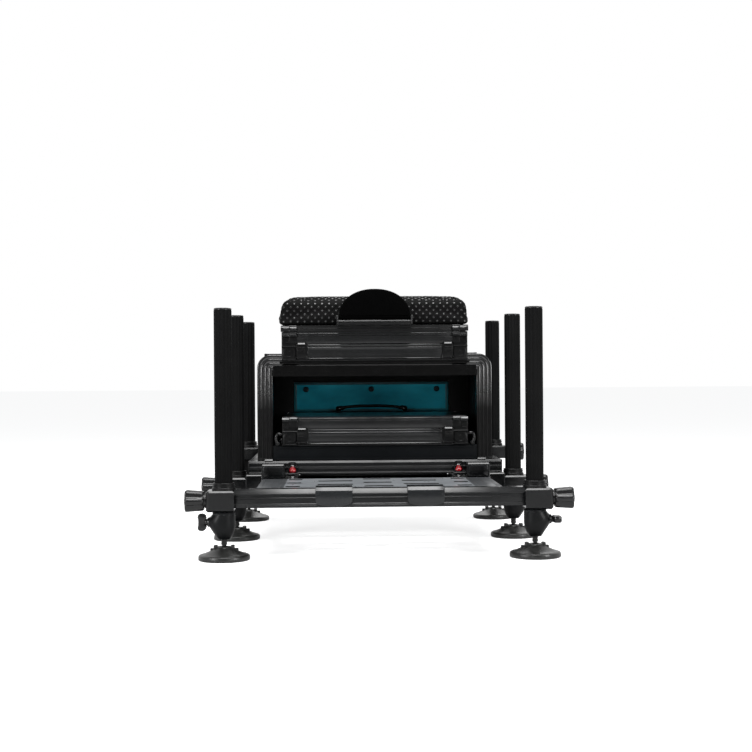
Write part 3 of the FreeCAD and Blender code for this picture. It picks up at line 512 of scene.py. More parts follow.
def foot(y):
    """A round mud foot: a flared cone around the ball's socket, two lugs and a notched rim."""
    profile = [(0.0, 1.0), (0.0, 49.6), (1.0, 51.2), (3.0, 51.9), (7.4, 51.9), (9.6, 51.0), (10.8, 49.4),
               (11.2, 48.2)]
    profile += [(11.6 + 13.6 * (i / 9) ** 1.35, 47.4 - 31.0 * i / 9) for i in range(10)]
    profile += [(26.4, 15.6), (27.0, 14.4), (27.0, 8.6), (26.4, 7.7), (22.4, 7.6)]
    parts = [ring_stack(profile, (LEG_X, y, 0), "z", RUBBER, steps=96, angle=28)]
    for side in SIDES:
        lug, rib = LEG_X + side * 17, LEG_X + side * 24
        parts += [brick((lug - 4, lug + 4), (y - 7.5, y + 7.5), (17.0, 30.0), RUBBER, 1.8, 3),
                  brick((rib - 5, rib + 4), (y - 3, y + 3), (15.0, 24.0), RUBBER, 1.5, 2)]
    for index in range(12):
        notch = brick((LEG_X + 49.6, LEG_X + 52.0), (y - 3.2, y + 3.2), (1.6, 6.8), RUBBER, 0.7, 1)
        parts.append(turned(notch, 30 * index + 15, (LEG_X, y, 0), "Z"))
    return parts


def wing_knob(y, flat):
    """A wing screw, with its wings lying flat or standing up."""
    start = LEG_X + 33.3
    half = [(1.6, -8.0), (3.0, -13.5), (6.0, -16.5), (10.0, -17.6), (15.0, -17.2), (18.4, -15.0), (19.6, -11.0),
            (18.4, -5.0)]
    outline = half + [(18.2, 0.0)] + [(u, -v) for u, v in reversed(half)] + [(4.4, 4.0), (4.8, 0.0), (4.4, -4.0)]
    wing = prism([[(start + u, WING_Z + v) for u, v in outline]], (y - 7, y + 7), "y", KNOB, bevel=3.2)
    neck = ring_stack([(0.0, 6.0), (0.4, 6.8), (2.4, 6.8), (4.5, 5.6), (7.5, 5.6), (11.0, 6.6)],
                      (start, y, WING_Z), "x", KNOB, steps=40)
    screw = ring_stack([(-14.0, 3.4), (-13.0, 4.0), (0.5, 4.0)], (start, y, WING_Z), "x", STUD, steps=24)
    parts = [wing, neck, screw]
    if flat:
        for part in parts:
            turned(part, 90, (0, y, WING_Z))
    return parts


def clamp_knob(y, z):
    """A knob with six swept grips, wider towards its outer end."""
    centre = (LEG_X + 39.8, y, z)

    def lobed(radius, depth):
        return lambda a: radius - depth * (0.5 - 0.5 * math.cos(6 * a)) ** 1.6

    stations = [(0.0, 14.0), (0.2, lobed(19.2, 1.0)), (1.6, lobed(20.6, 2.0)), (5.0, lobed(21.2, 3.2)),
                (14.0, lobed(21.8, 4.2)), (26.0, lobed(22.8, 4.8)), (33.0, lobed(23.4, 4.8)),
                (35.6, lobed(23.2, 4.6)), (37.2, lobed(22.0, 4.0)), (37.9, lobed(20.2, 3.2)),
                (38.0, lobed(18.6, 2.2)), (38.0, 13.6), (36.8, 12.8), (36.8, 6.0), (37.4, 5.4), (37.4, 0.4)]
    head = ring_stack(stations, centre, "x", KNOB, steps=120, angle=40)
    washer = ring_stack([(-5.0, 13.6), (-4.6, 14.6), (-2.6, 14.8), (-2.2, 12.6), (-1.2, 12.6), (-0.9, 14.8),
                         (0.3, 14.8)], centre, "x", KNOB, steps=56)
    screw = ring_stack([(-21.0, 4.2), (-20.0, 5.0), (-4.0, 5.0)], centre, "x", STUD, steps=28)
    return [head, washer, screw]


def clamp_block(y, z, inner):
    """The block that grips a tube, with the stepped collar on its top."""
    half, r = 27, 7.0
    x0, x1 = LEG_X - inner, LEG_X + 34.5
    outline = [(x0, y - half)] + arc((x1 - r, y - half + r), r, -90, 0, 6)
    outline += arc((x1 - r, y + half - r), r, 0, 90, 6) + [(x0, y + half)]
    body = prism([outline, arc((LEG_X, y), 18.3, 0, 352, 44)], z, "z", CASTING, bevel=3.2, steps=0)
    collar = ring_stack([(-0.5, 23.8), (4.6, 23.8), (5.4, 23.0), (5.6, 21.9), (7.4, 21.7), (7.8, 22.6),
                         (10.4, 22.6), (10.8, 21.2), (12.0, 21.2), (12.4, 22.0), (14.2, 22.0), (15.0, 21.2),
                         (15.0, 18.5), (8.0, 18.35)], (LEG_X, y, z[1]), "z", COLLAR, steps=72, close=False)
    seat = ring_stack([(-1.5, 16.8), (0.0, 16.8), (0.25, 16.2), (0.25, 6.0)], (x1, y, (z[0] + z[1]) / 2), "x",
                      CASTING, steps=48, close=False)
    return [body, collar, seat]


LOW_BLOCK, HIGH_BLOCK = (98.0, 140.0), (154.0, 186.0)
for row, row_y in ROWS.items():
    knob_z = sum(HIGH_BLOCK if row == "rear" else LOW_BLOCK) / 2
    for side in ("left", "right"):
        key = row + "_" + side
        sets = (("leg_tube_", leg_tube(row_y), "leg_", "anodised_tube"),
                ("leg_end_", leg_end(row_y), "leg_", "black_alloy"),
                ("foot_", foot(row_y), "foot_", "foot_rubber"),
                ("wing_knob_", wing_knob(row_y, side == "right"), "wing_knob_", "black_plastic"),
                ("clamp_knob_", clamp_knob(row_y, knob_z), "clamp_knob_", "black_plastic"))
        for node, parts, body, slot in sets:
            if side == "left":
                parts = [flipped(part) for part in parts]
            finish_piece(node + "dressed_" + key, parts, body + key, node + key)

front_blocks = clamp_block(ROWS["front"], LOW_BLOCK, 22.0)
finish_piece("front_blocks_dressed", both_sides(front_blocks), "footplate", "front_leg_blocks")
chassis_blocks = clamp_block(ROWS["middle"], LOW_BLOCK, 22.0) + clamp_block(ROWS["rear"], HIGH_BLOCK, 29.5)
finish_piece("chassis_blocks_dressed", both_sides(chassis_blocks), "chassis", "chassis_leg_blocks")


# Footplate

BEAM_HALF, PLATE_HALF, ARM_OUTER, PLATE_TOP = 291.5, 195, 249.5, 142.0
BEAM_FRONT = [(-351.0, 105.0), (-388.2, 105.0), (-389.0, 105.8), (-389.0, 109.8), (-388.6, 110.2), (-388.9, 111.4),
              (-388.9, 112.6), (-388.0, 113.5), (-387.7, 122.4), (-388.9, 123.4), (-388.9, 125.0), (-388.0, 125.9),
              (-387.8, 129.4), (-389.0, 130.4), (-389.0, 132.2), (-388.0, 133.6), (-379.4, PLATE_TOP),
              (-351.0, PLATE_TOP)]
beam = prism([BEAM_FRONT, rectangle((-383.0, -357.0), (110.0, 137.0), 3.0)], (-BEAM_HALF, BEAM_HALF), "x",
             EXTRUSION, bevel=0.25)
finish_piece("beam_dressed", [beam], "footplate", "footplate_beam")

PLATE_Y = (-351.0, -117.0)
SLOT_PITCH, SLOT_DEPTH = 90, 26
holes = []
for middle, width, shifted in ((-177, 30, 0), (-90, 74, 1), (0, 60, 0), (90, 74, 1), (177, 30, 0)):
    for row in range(3 - shifted):
        start = PLATE_Y[0] + 19 + SLOT_PITCH * (row + shifted / 2)
        holes.append(rectangle((middle - width / 2, middle + width / 2), (start, start + SLOT_DEPTH), 3.0))
plate = prism([rectangle((-PLATE_HALF, PLATE_HALF), PLATE_Y, 1.0)] + holes, (139.5, PLATE_TOP), "z", PLATE,
              bevel=0.5)
# Painted shade: the walls of the plate's slots get the dark plastic instead of the plate's metal, so the slots
# look dark as shaded recesses
plate.data.materials.append(PLASTIC)
for face in plate.data.polygons:
    inside = abs(face.center.x) < 0.193 and -0.350 < face.center.y < -0.118
    if inside and abs(face.normal.z) < 0.8:
        face.material_index = 1
finish_piece("plate_dressed", [plate], "footplate", "footplate_plate")

CLIP_HALF = 37
trim_parts = []
for side in SIDES:
    trim_parts.append(brick(spread(side, 195.2, ARM_OUTER), (-351, -117), (139.5, PLATE_TOP), STRIP, 0.7))
    for offset in (8.0, 27.0, 46.0):
        middle = side * (PLATE_HALF + offset)
        trim_parts.append(brick((middle - 1.0, middle + 1.0), (-350, -118), (141.8, 142.5), STRIP, 0.3, 1))
saddle = [(-335, 142.1), (-335, 144.2), (-336, 145), (-386.0, 145), (-392.3, 138.8), (-392.3, 137.2),
          (-389.0, 137.2), (-389.0, 142.1)]
for side in SIDES:
    middle = side * 92.5
    lip = [(middle - CLIP_HALF, 139)]
    lip += [(middle - CLIP_HALF * math.cos(math.pi * i / 20), 121.0 - 14.5 * math.sin(math.pi * i / 20) ** 0.6)
            for i in range(21)]
    lip.append((middle + CLIP_HALF, 139))
    inner = [(u + (middle - u) * 0.13, 125.5 + (v - 125.5) * 0.78) for u, v in lip]
    trim_parts += [prism([lip], (-392.2, -389.0), "y", CLIP, bevel=0.9),
                   prism([inner], (-392.7, -391.4), "y", CLIP, bevel=0.45),
                   prism([saddle], (middle - CLIP_HALF, middle + CLIP_HALF), "x", CLIP, bevel=0.5)]
finish_piece("trims_dressed", trim_parts, "footplate", "footplate_trims")

ARM_Y = (-351, 140)
arm_parts = []
for side in SIDES:
    x = spread(side, 207.0, ARM_OUTER)
    hole = rectangle((x[0] + 2.5, x[1] - 2.5), (112.0, 137.0), 1.5)
    arm_parts += [prism([rectangle(x, (109.5, 139.5), 1.5), hole], ARM_Y, "y", SIDE_RAIL, bevel=0.4),
                  brick(spread(side, 176.0, 182.5), ARM_Y, (133.5, 139.5), SIDE_RAIL, 0.5),
                  brick(spread(side, 189.5, 207.4), ARM_Y, (133.5, 139.5), SIDE_RAIL, 0.5),
                  brick(spread(side, 182.5, 189.5), ARM_Y, (133.5, 136.0), SIDE_RAIL, 0.2, 1)]
    arm_parts += ribs(spread(side, 249.3, 249.9), (-350, 139), (117.0, 124.5, 132.0), 1.2, SIDE_RAIL, 0.25)
arm_parts += [brick((-207, 207), (120, 140), (112, 131), EXTRUSION),
              brick((-175.6, 175.6), (120, 140), (112, 139.4), EXTRUSION)]
finish_piece("arms_dressed", arm_parts, "footplate", "footplate_arms")


# Guides, plungers and rails

GUIDE_X = (202.6, 254.2)
guides = [brick(GUIDE_X, (-92, -50), (139.9, 172.0), CASTING, 2.6, 1),
          brick((202.6, 206.6), (-92, -50), (104.0, 133.1), CASTING),
          brick((249.9, 254.2), (-92, -3), (104.0, 147.0), CASTING),
          brick(GUIDE_X, (-92, -3), (104.0, 109.1), CASTING),
          brick((254.0, BEAM_HALF), (-62, -9), (104.0, 147.0), CASTING, 2.2, 1),
          brick(GUIDE_X, (-50.5, -9), (140.0, 147.0), CASTING),
          brick((207.5, ARM_OUTER), (-92.6, -91.4), (144.5, 166.5), CASTING, 0.5),
          brick((173.0, 203.4), (-85.0, -57.0), (145.5, 151.5), CASTING, 1.6, 3),
          ring_stack([(151.4, 10.6), (153.6, 10.6), (154.2, 10.0), (154.2, 4.0)],
                     (PLUNGER_X, PLUNGER_Y, -2.6), "z", CASTING, steps=40, close=False)]
finish_piece("guides_dressed", both_sides(guides), "chassis", "footplate_guides")

for name, side in (("right", 1), ("left", -1)):
    middle = (side * PLUNGER_X, PLUNGER_Y, 0)
    core = ring_stack([(152.4, 5.6), (153.4, 7.0), (156.0, 8.1), (158.5, 7.7), (161.5, 5.9), (164.5, 4.3),
                       (166.4, 3.2)], middle, "z", RED, steps=40, angle=50)
    cap = ring_stack([(166.0, 3.3), (166.6, 4.6), (169.6, 4.8), (170.5, 4.0)], middle, "z", STEEL, steps=36)
    base = ring_stack([(151.8, 7.0), (152.0, 9.2), (152.9, 9.5), (153.0, 5.0)], middle, "z", COLLAR, steps=44)
    roof = ring_stack([(170.3, 5.0), (170.8, 8.6), (172.4, 9.5), (174.2, 8.4), (175.2, 6.4), (175.9, 2.0)],
                      middle, "z", COLLAR, steps=44)
    pin = ring_stack([(136.3, 1.6), (137.0, 2.6), (152.0, 2.6)], middle, "z", STEEL, steps=24)
    guard = [prism([rectangle(sorted((middle[0] + edge * 8.4, middle[0] + edge * 9.5)), (-74.0, -66.0), 0.4)],
                   (152.6, 170.9), "z", COLLAR, bevel=0.2) for edge in SIDES]
    finish_piece("plunger_dressed_" + name, [core, cap, base, roof, pin] + guard, "plunger_" + name,
                 "plunger_" + name)

RAIL_LOW, RAIL_HALF, RAIL_OUTER = 147, 254, 284
RAIL_FRONT = [(-10, RAIL_LOW), (-49.0, RAIL_LOW), (-50, 148.4), (-50, 149.6), (-48.6, 151.6), (-48.2, 154.4),
              (-46.4, 155.0), (-46.4, 157.0), (-49.0, 157.8), (-49.8, 162.2), (-48.4, 164.4), (-48.0, 166.4),
              (-46.4, 167.0), (-46.4, 169.6), (-49.4, 170.2), (-49.6, 172.0), (-47.5, 176.7),
              (-47.2, RAIL_TOP), (-10, RAIL_TOP)]
RAIL_REAR = [(340 - y, z) for y, z in reversed(RAIL_FRONT)]
rail_parts = [prism([outline, rectangle(hole, (152, 172), 2.0)], (-RAIL_OUTER, RAIL_OUTER), "x", EXTRUSION,
                    bevel=0.2, smooth=12.0)
              for outline, hole in ((RAIL_FRONT, (-44, -15)), (RAIL_REAR, (355, 384)))]
for side in SIDES:
    x = spread(side, RAIL_HALF, RAIL_OUTER)
    hole = rectangle((x[0] + 3, x[1] - 3), (150, 174), 2.0)
    rail_parts.append(prism([rectangle(x, (RAIL_LOW, RAIL_TOP)), hole], (-10, 350), "y", SIDE_RAIL))
    rail_parts += ribs(spread(side, 283.8, 284.5), (-9, 349), (154.0, 162.0, 170.0), 1.4, SIDE_RAIL, 0.3)
    rail_parts.append(brick(spread(side, 283.9, 286.4), (-49.4, -10.6), (147.6, 176.4), COLLAR))
finish_piece("rails_dressed", rail_parts, "chassis", "chassis_rails")


# Hoops, liner and back frame

HOOP_HALF, HOOP_TOP, HOOP_BEND, HOOP_WIDTH = 265.0, 416.0, 31.0, 35.0


def arch_path(inset):
    """Points (x, z) of the hoop's line, drawn in by an inset, from its left foot to its right foot."""
    half, top, bend = HOOP_HALF - inset, HOOP_TOP - inset, max(HOOP_BEND - inset, 1.5)
    straight = top - bend - RAIL_TOP
    points = [(-half, RAIL_TOP + straight * i / 6) for i in range(7)]
    points += arc((-half + bend, top - bend), bend, 180, 90, 12)[1:]
    points += [(-half + bend + (2 * half - 2 * bend) * i / 8, top) for i in range(1, 9)]
    points += arc((half - bend, top - bend), bend, 90, 0, 12)[1:]
    points += [(half, top - bend - straight * i / 6) for i in range(1, 7)]
    return points


def arch_sweep(section, mat):
    """Sweeps a closed section of (inset, y) along the hoop's line."""
    lines = [[(x, y, z) for x, z in arch_path(inset)] for inset, y in section]
    count, length = len(section), len(lines[0])
    points = [lines[j][i] for i in range(length) for j in range(count)]
    faces = [(i * count + j, i * count + (j + 1) % count, (i + 1) * count + (j + 1) % count, (i + 1) * count + j)
             for i in range(length - 1) for j in range(count)]
    faces += [tuple(range(count)), tuple(reversed(range((length - 1) * count, length * count)))]
    return from_lists("arch", points, faces, mat, 45.0)


def ribbed_section(front, back, count=4, height=1.2):
    """The hoop's section, as (inset, y): a flat back and a front of shallow rounded ribs."""
    out = -1 if front < back else 1
    pitch, valley = HOOP_WIDTH / count, front - out * height + out * 0.4
    points = [(0.6, back), (0.0, back + out * 0.6), (0.0, valley)]
    for index in range(count):
        for step in range(9):
            a = math.pi * step / 8
            points.append((pitch * (index + 0.5) - pitch * 0.46 * math.cos(a),
                           front - out * height * (1 - math.sin(a) ** 0.8)))
    return points + [(HOOP_WIDTH, valley), (HOOP_WIDTH, back + out * 0.6), (HOOP_WIDTH - 0.6, back)]


def hoop_parts(front, back):
    """An arch with its two feet; the front one also has lit lips and a bar across the bay's top."""
    parts = [arch_sweep(ribbed_section(front, back), HOOP)]
    foot_y = (min(front, back) - 0.4, max(front, back) + 0.4)
    lip = [(-46.0, 177.1), (-50.4, 177.1), (-50.4, 177.6), (-48.9, 181.0), (-46.0, 182.0)]
    for side in SIDES:
        parts.append(brick(spread(side, 229.6, 265.4), foot_y, (RAIL_TOP, 183.5), COLLAR, 1.2))
        if front < back:
            parts.append(prism([lip], spread(side, 231.0, 249.0), "x", GLOSS, bevel=0.2, smooth=12.0))
    if front < back:
        bar = [(-40, 367), (-47.6, 367), (-48.0, 367.6), (-48.0, 391.0), (-45.7, 396.2), (-45.2, 396.6),
               (-40, 396.6)]
        # Painted shadow: a dark strip stands for the shadow line under the upper tray's front edge
        parts += [brick((-214, 214), (-47.8, -44), (396.8, 401.6), BAR, 0.3, 1),
                  prism([bar], (-229.4, 229.4), "x", BAR, bevel=0.2, smooth=12.0)]
    return parts


finish_piece("front_hoop_dressed", hoop_parts(-46.0, -16.0), "chassis", "front_hoop")
rear_parts = hoop_parts(338.0, 308.0)
rear_parts.append(brick((-268, 268), (318.3, 336.3), (416.2, 424.0), PLASTIC, 1.4, 3))
for side in SIDES:
    rear_parts.append(brick(spread(side, 262, 268.4), (317.9, 336.7), (415.9, 424.4), COLLAR, 1.6, 3))
finish_piece("rear_hoop_dressed", rear_parts, "chassis", "rear_hoop")

liner_parts = [arch_sweep([(17.5, -16.0), (20.5, -16.0), (20.5, 308.0), (17.5, 308.0)], LINER)]
for y in (20.0, 76.0, 132.0, 188.0, 244.0):
    liner_parts.append(arch_sweep([(17.7, y - 4), (16.3, y - 2.6), (16.3, y + 2.6), (17.7, y + 4)], LINER))
finish_piece("liner_dressed", liner_parts, "chassis", "bay_liner")

FRAME_HALF, FRAME_TOP, FRAME_BEND, DOOR_HALF, DOOR_TOP = 244.2, 395.2, 11.0, 195, 354.8
doorway = [(-DOOR_HALF, 276.6), (DOOR_HALF, 276.6), (DOOR_HALF, DOOR_TOP)]
doorway += [(DOOR_HALF * math.cos(math.pi * i / 24), DOOR_TOP + 7.2 * math.sin(math.pi * i / 24) ** 2)
            for i in range(1, 24)]
doorway.append((-DOOR_HALF, DOOR_TOP))
frame_outline = [(-FRAME_HALF, 276.2), (FRAME_HALF, 276.2)]
for side, start in ((1, 0), (-1, 90)):
    frame_outline += arc((side * (FRAME_HALF - FRAME_BEND), FRAME_TOP - FRAME_BEND), FRAME_BEND, start,
                         start + 90, 10)
frame_parts = [prism([frame_outline, doorway], (292.0, 297.0), "y", LINER, bevel=0.9),
               prism([frame_outline, rectangle((-189, 189), (282.2, 345))], (303.5, 306.0), "y", LINER, bevel=0.4)]
for side in SIDES:
    frame_parts += [brick(spread(side, DOOR_HALF, 243.5), (296.5, 304), (276.3, 368), LINER, 0.4, 1),
                    brick(spread(side, 209.4, 244.0), (292.2, 305.8), (211.5, 277.0), LINER, 0.9),
                    ring_stack([(-1.5, 0.5), (-1.5, 3.0), (-1.1, 4.0), (0.4, 4.2)],
                               (side * 232.2, 292.0, 379.2), "y", STEEL, steps=32, close=False)]
frame_parts.append(brick((-243.5, 243.5), (296.5, 304), (361, 368), LINER, 0.4, 1))
finish_piece("back_frame_dressed", frame_parts, "chassis", "back_frame")

border = [rectangle((-193.6, 193.6), (278.1, 351.4), 2.0), rectangle((-186.5, 186.5), (283.5, 344.5), 2.0)]
sheet_parts = [prism([rectangle((-193.8, 193.8), (277.9, 351.6), 2.0)], (297.9, 300.8), "y", TEAL, bevel=0.7),
               prism(border, (297.5, 298.1), "y", TEAL_EDGE, bevel=0.15),
               ring_stack([(-194, 2.2), (194, 2.2)], FLAP_HINGE, "x", PLASTIC, steps=24),
               rod((-199.8, 199.8), FLAP_HINGE, 2.0, 0.4, 0.4, STEEL, 20)]
finish_piece("flap_sheet_dressed", sheet_parts, "rear_flap", "rear_flap")

BOW_Y, BOW_FOOT, SHEET_Y = 280.8, 285.5, 297.9
bow = [(0, 292.0), (30, 291.6), (60, 290.0), (76, 286.5), (84, BOW_FOOT), (89, BOW_FOOT)]
bow = [(-x, z) for x, z in reversed(bow[1:])] + bow
handle_parts = [bar_along([(x, BOW_Y, z, 0.8 if abs(x) > 70 else 0.66) for x, z in bow], 5.6, HANDLE)]
for side in SIDES:
    handle_parts += [ball(7.2, (side * 82, BOW_Y, BOW_FOOT), HANDLE),
                     ring_stack([(0, 5.0), (11, 5.0), (14, 6.4), (16.6, 7.2), (17.0, 7.2)],
                                (side * 76.5, 297.8, BOW_FOOT), "y", HANDLE, steps=32, close=False)]
for x in (-164, 0, 164):
    handle_parts += [ring_stack([(0.0, 7.2), (0.8, 7.2), (1.9, 6.4), (2.4, 4.8), (2.4, 3.0), (1.5, 2.6),
                                 (1.5, 0.3)], (x, SHEET_Y, 333.5), "y", STUD_HEAD, steps=36, close=False),
                     ring_stack([(-3.2, 4.6), (-3.0, 5.2), (0.0, 5.2)], (x, SHEET_Y, 333.5), "y", STUD_HEAD,
                                steps=36)]
finish_piece("flap_handle_dressed", handle_parts, "rear_flap", "flap_handle")


# Trays, drawers and catches

TRAY_HALF, TRAY_HEIGHT, TRAY_BAND, TRAY_BACK = 205, 65.0, 38.0, 317


def corner_post(low, high, side, closed):
    """A corner moulding with a lit cap, a ledge and a round bulge; without a lid the cap stands out."""
    x, half, inside = spread(side, 175.0, 209.0), spread(side, 192.6, 208.6), spread(side, 175.2, 191.6)

    def upright(edge):
        return abs((edge.verts[0].co - edge.verts[1].co).z) > 30

    parts = [brick(x, (-58, -18), (low + 0.2, high - 1.0), POST, 3.0, 3, keep=upright)]
    for x_span, front, top, drop in ((half, -61.6, high - 1.4, 4.2), (inside, -61.0, high - 0.6, 3.6)):
        if closed:
            cap = [(-19, top - 9), (front, top - 9), (front, top - drop), (front + drop, top), (-19, top)]
        else:
            cap = [(-19, top - 10), (-63.2, top - 10), (-63.2, top - 6.4), (-61.3, top - 2.2), (-60, top),
                   (-19, top)]
        parts.append(prism([cap], x_span, "x", CORNER, bevel=0.2, smooth=12.0))
    parts += [brick(half, (-59.6, -20), (high - 26.0, high - 12.0), POST, 0.9),
              brick(inside, (-59.4, -20), (high - 26.0, high - 10.2), POST, 0.9),
              brick(x, (-61.6, -30), (high - 35.6, high - 31.6), POST, 1.1, 1),
              brick(x, (-60.6, -30), (low + 0.2, low + 4.4), POST, 1.2, 3),
              ring_stack([(-1.5, 15.8), (0.4, 15.4), (1.5, 13.4), (1.7, 10.4), (1.7, 8.8), (1.2, 8.2),
                          (1.2, 3.8), (1.8, 3.0), (1.9, 0.3)], (side * 191.8, -58.0, low + 18.0), "y", POST,
                         steps=48, close=False)]
    heights = [high - 14.1 - 3.6 * index for index in range(4)]
    return parts + ribs(spread(side, 194.4, 206.8), (-60.5, -58.6), heights, 1.0, POST, 0.5)


def tray_parts(low, closed):
    """A tray module's shell, with a floor above its drawer and, where it is closed, a lid."""
    high, band = low + TRAY_HEIGHT, low + TRAY_BAND
    width = (-TRAY_HALF, TRAY_HALF)
    front = [(-53.0, 38.3), (-57.2, 38.3), (-58.2, 45.8), (-57.4, 55.2), (-58.4, 55.8), (-58.4, 56.2),
             (-57.7, 56.9), (-57.5, 60.0), (-58.4, 60.3), (-58.4, 61.0), (-57.2, 62.2), (-57.1, 64.9),
             (-53.0, 64.9)]
    parts = []
    for side in SIDES:
        parts += corner_post(low, high, side, closed)
        parts += [brick(spread(side, 204.4, 209.0), (-20, 318), (low + 0.2, high), PLASTIC, 1.4),
                  brick(spread(side, 174.5, 178.5), (-30, 314), (low + 2.8, band), PLASTIC, 0.5, 1),
                  brick(spread(side, 176.0, 209.6), (280, 319), (low + 0.2, high - 0.2), PLASTIC, 3.0, 3)]
        parts += ribs(spread(side, 208.6, 210.2), (-14, 312), (low + 9, low + 30, low + 51), 4.0, PLASTIC,
                      1.2, 2)
    parts += [brick(width, (-57, TRAY_BACK), (low + 0.1, low + 3.0), PLASTIC, 0.8, 1),
              brick(width, (-53, TRAY_BACK), (band + 0.1, band + 3.0), PLASTIC, 0.8, 1),
              brick(width, (314, 318), (low + 0.2, high), PLASTIC, 1.4),
              prism([[(y, low + z) for y, z in front]], (-175.5, 175.5), "x", DRAWER, bevel=0.15)]
    parts += ribs((-172, 172), (317.6, 319.2), (low + 14, low + 34, low + 52), 3.4, PLASTIC, 1.2, 2)
    if not closed:
        return parts + [brick(width, (-54.2, -51.4), (band + 3, high - 0.1), PLASTIC, 0.6, 1)]
    parts.append(brick(width, (-54, TRAY_BACK), (high - 3.2, high - 0.3), PLASTIC, 0.8, 1))
    return parts + [brick(spread(side, 150, 196), (10, 296), (high - 0.5, high), PLASTIC, 0.2, 1)
                    for side in SIDES]


def knuckle(inner, outer, side, leaf):
    """A knuckle of the seat's hinge on one side, with the leaf that carries it."""
    x = spread(side, inner, outer)
    return [rod(x, SEAT_HINGE, 5.0, 0.6, 0.6, PLASTIC, 36), brick(x, (316.5, 323.4), leaf, PLASTIC, 0.5, 1)]


finish_piece("lower_tray_dressed", tray_parts(TRAYS["lower"], True), "chassis", "lower_tray")
upper = tray_parts(TRAYS["upper"], False)
for side in SIDES:
    upper += knuckle(120.0, 150.0, side, (462.2, 466.6))
upper.append(rod((-150.0, 150.0), SEAT_HINGE, 2.45, 0.6, 0.65, STUD, 24))
finish_piece("upper_tray_dressed", upper, "chassis", "upper_tray")


def drawer_parts(low):
    """A drawer: its moulded front and an open box behind it."""
    width, z = (-172.8, 172.8), (low + 3.4, low + 36.1)
    front = [(-54.0, 3.3), (-60.2, 3.3), (-61.0, 3.9), (-61.0, 4.7), (-59.7, 6.0), (-59.2, 12.2), (-60.4, 20.2),
             (-59.5, 24.8), (-60.9, 29.5), (-59.8, 30.6), (-59.4, 33.4), (-60.3, 35.6), (-59.8, 36.2),
             (-54.0, 36.2)]
    parts = [prism([[(y, low + height) for y, height in front]], (-150.0, 150.0), "x", DRAWER, bevel=0.15),
             brick(width, (-57.8, -54.2), z, PLASTIC, 0.8),
             brick(width, (-54.3, 272), (low + 3.35, low + 6.3), PLASTIC, 0.5, 1),
             brick(width, (269, 272), z, PLASTIC, 0.8, 1)]
    for side in SIDES:
        parts.append(brick(spread(side, 170, 172.9), (-56, 272), (low + 3.4, low + 36.2), PLASTIC, 0.8, 1))
        parts += [brick(spread(side, x, x + 2.0), (-62.9, -57.6), (low + 3.5, low + 11.3), PLASTIC, 0.6)
                  for x in (151.0, 171.0)]
    return parts


def catch_parts(low, side):
    """A drawer's catch, standing up from its pivot to a lit, bevelled head."""
    z = low + 7.3
    x, inside = spread(side, 153.4, 175.4), spread(side, 156.4, 172.4)
    parts = [brick(x, (-63.1, -58.5), (z + 1.0, z + 31.4), POST, 0.9),
             brick(x, (-65.1, -59.0), (z + 26.4, z + 32.6), CORNER, 3.2, 1),
             brick(inside, (-64.3, -62.0), (z + 12.0, z + 23.6), POST, 0.9)]
    parts += ribs(inside, (-64.9, -63.6), (z + 14.2, z + 17.6, z + 21.0), 0.8, POST, 0.4)
    return parts + [rod(x, (0, -60.8, z), 2.5, 0.4, 0.4, POST, 28),
                    ring_stack([(x[0] - 2.0, 1.0), (x[1] + 2.0, 1.0)], (0, -60.8, z), "x", POST, steps=16)]


for label, low in TRAYS.items():
    drawer = label + "_drawer"
    finish_piece(drawer + "_dressed", drawer_parts(low), drawer, drawer)
    for name, side in (("left", -1), ("right", 1)):
        node = label + "_catch_" + name
        finish_piece(node + "_dressed", catch_parts(low, side), node, node)


# Base tray and its side clips

BASE_HALF, BASE_Z = 229.5, (177.2, 210.8)
base_parts = [brick((-BASE_HALF, BASE_HALF), (-49, -45), BASE_Z, BASE, 1.6, 3),
              brick((-BASE_HALF, BASE_HALF), (352, 356), BASE_Z, BASE, 1.6, 3),
              brick((-229, 229), (-48, 355), (177.1, 180.0), BASE, 0.8, 1),
              brick((-222, 222), (-49.6, -48.0), (204.0, 208.6), BASE, 0.7),
              brick((-222, 222), (-49.6, -48.0), (179.0, 182.0), BASE, 0.7)]
for side in SIDES:
    base_parts += [brick(spread(side, 225.5, BASE_HALF), (-48, 355), BASE_Z, BASE, 1.4),
                   brick(spread(side, 214, 225), (-49.3, -39.3), (207, 220), BASE, 2.0, 3),
                   ring_stack([(0.0, 2.0), (10.6, 2.0), (11.0, 1.6), (11.0, 0.2)], (side * CLIP_X, -49.0, CLIP_Z),
                              "y", PLASTIC, steps=24, close=False)]
finish_piece("base_tray_dressed", base_parts, "chassis", "base_tray")

bend = [(CLIP_X, CLIP_Z), (222.4, 221.0), (223.2, 228.0), (222.0, 235.0), (217.6, 238.4), (212.6, 237.6)]
for name, side in (("right", 1), ("left", -1)):
    clip = [bar_along([(side * x, -54.4, z) for x, z in bend], 3.4, HANDLE),
            ring_stack([(-4.4, 3.4), (-4.0, 4.0), (4.0, 4.0), (4.4, 3.4), (4.4, 2.2)],
                       (side * CLIP_X, -54.0, CLIP_Z), "y", HANDLE, steps=32, close=False),
            brick(spread(side, 209.6, 215.5), (-58.6, -49.8), (234.4, 239.3), HANDLE, 1.4)]
    finish_piece("side_clip_dressed_" + name, clip, "side_clip_" + name, "side_clip_" + name)


# Seat: frame, bracket, grip and cushion

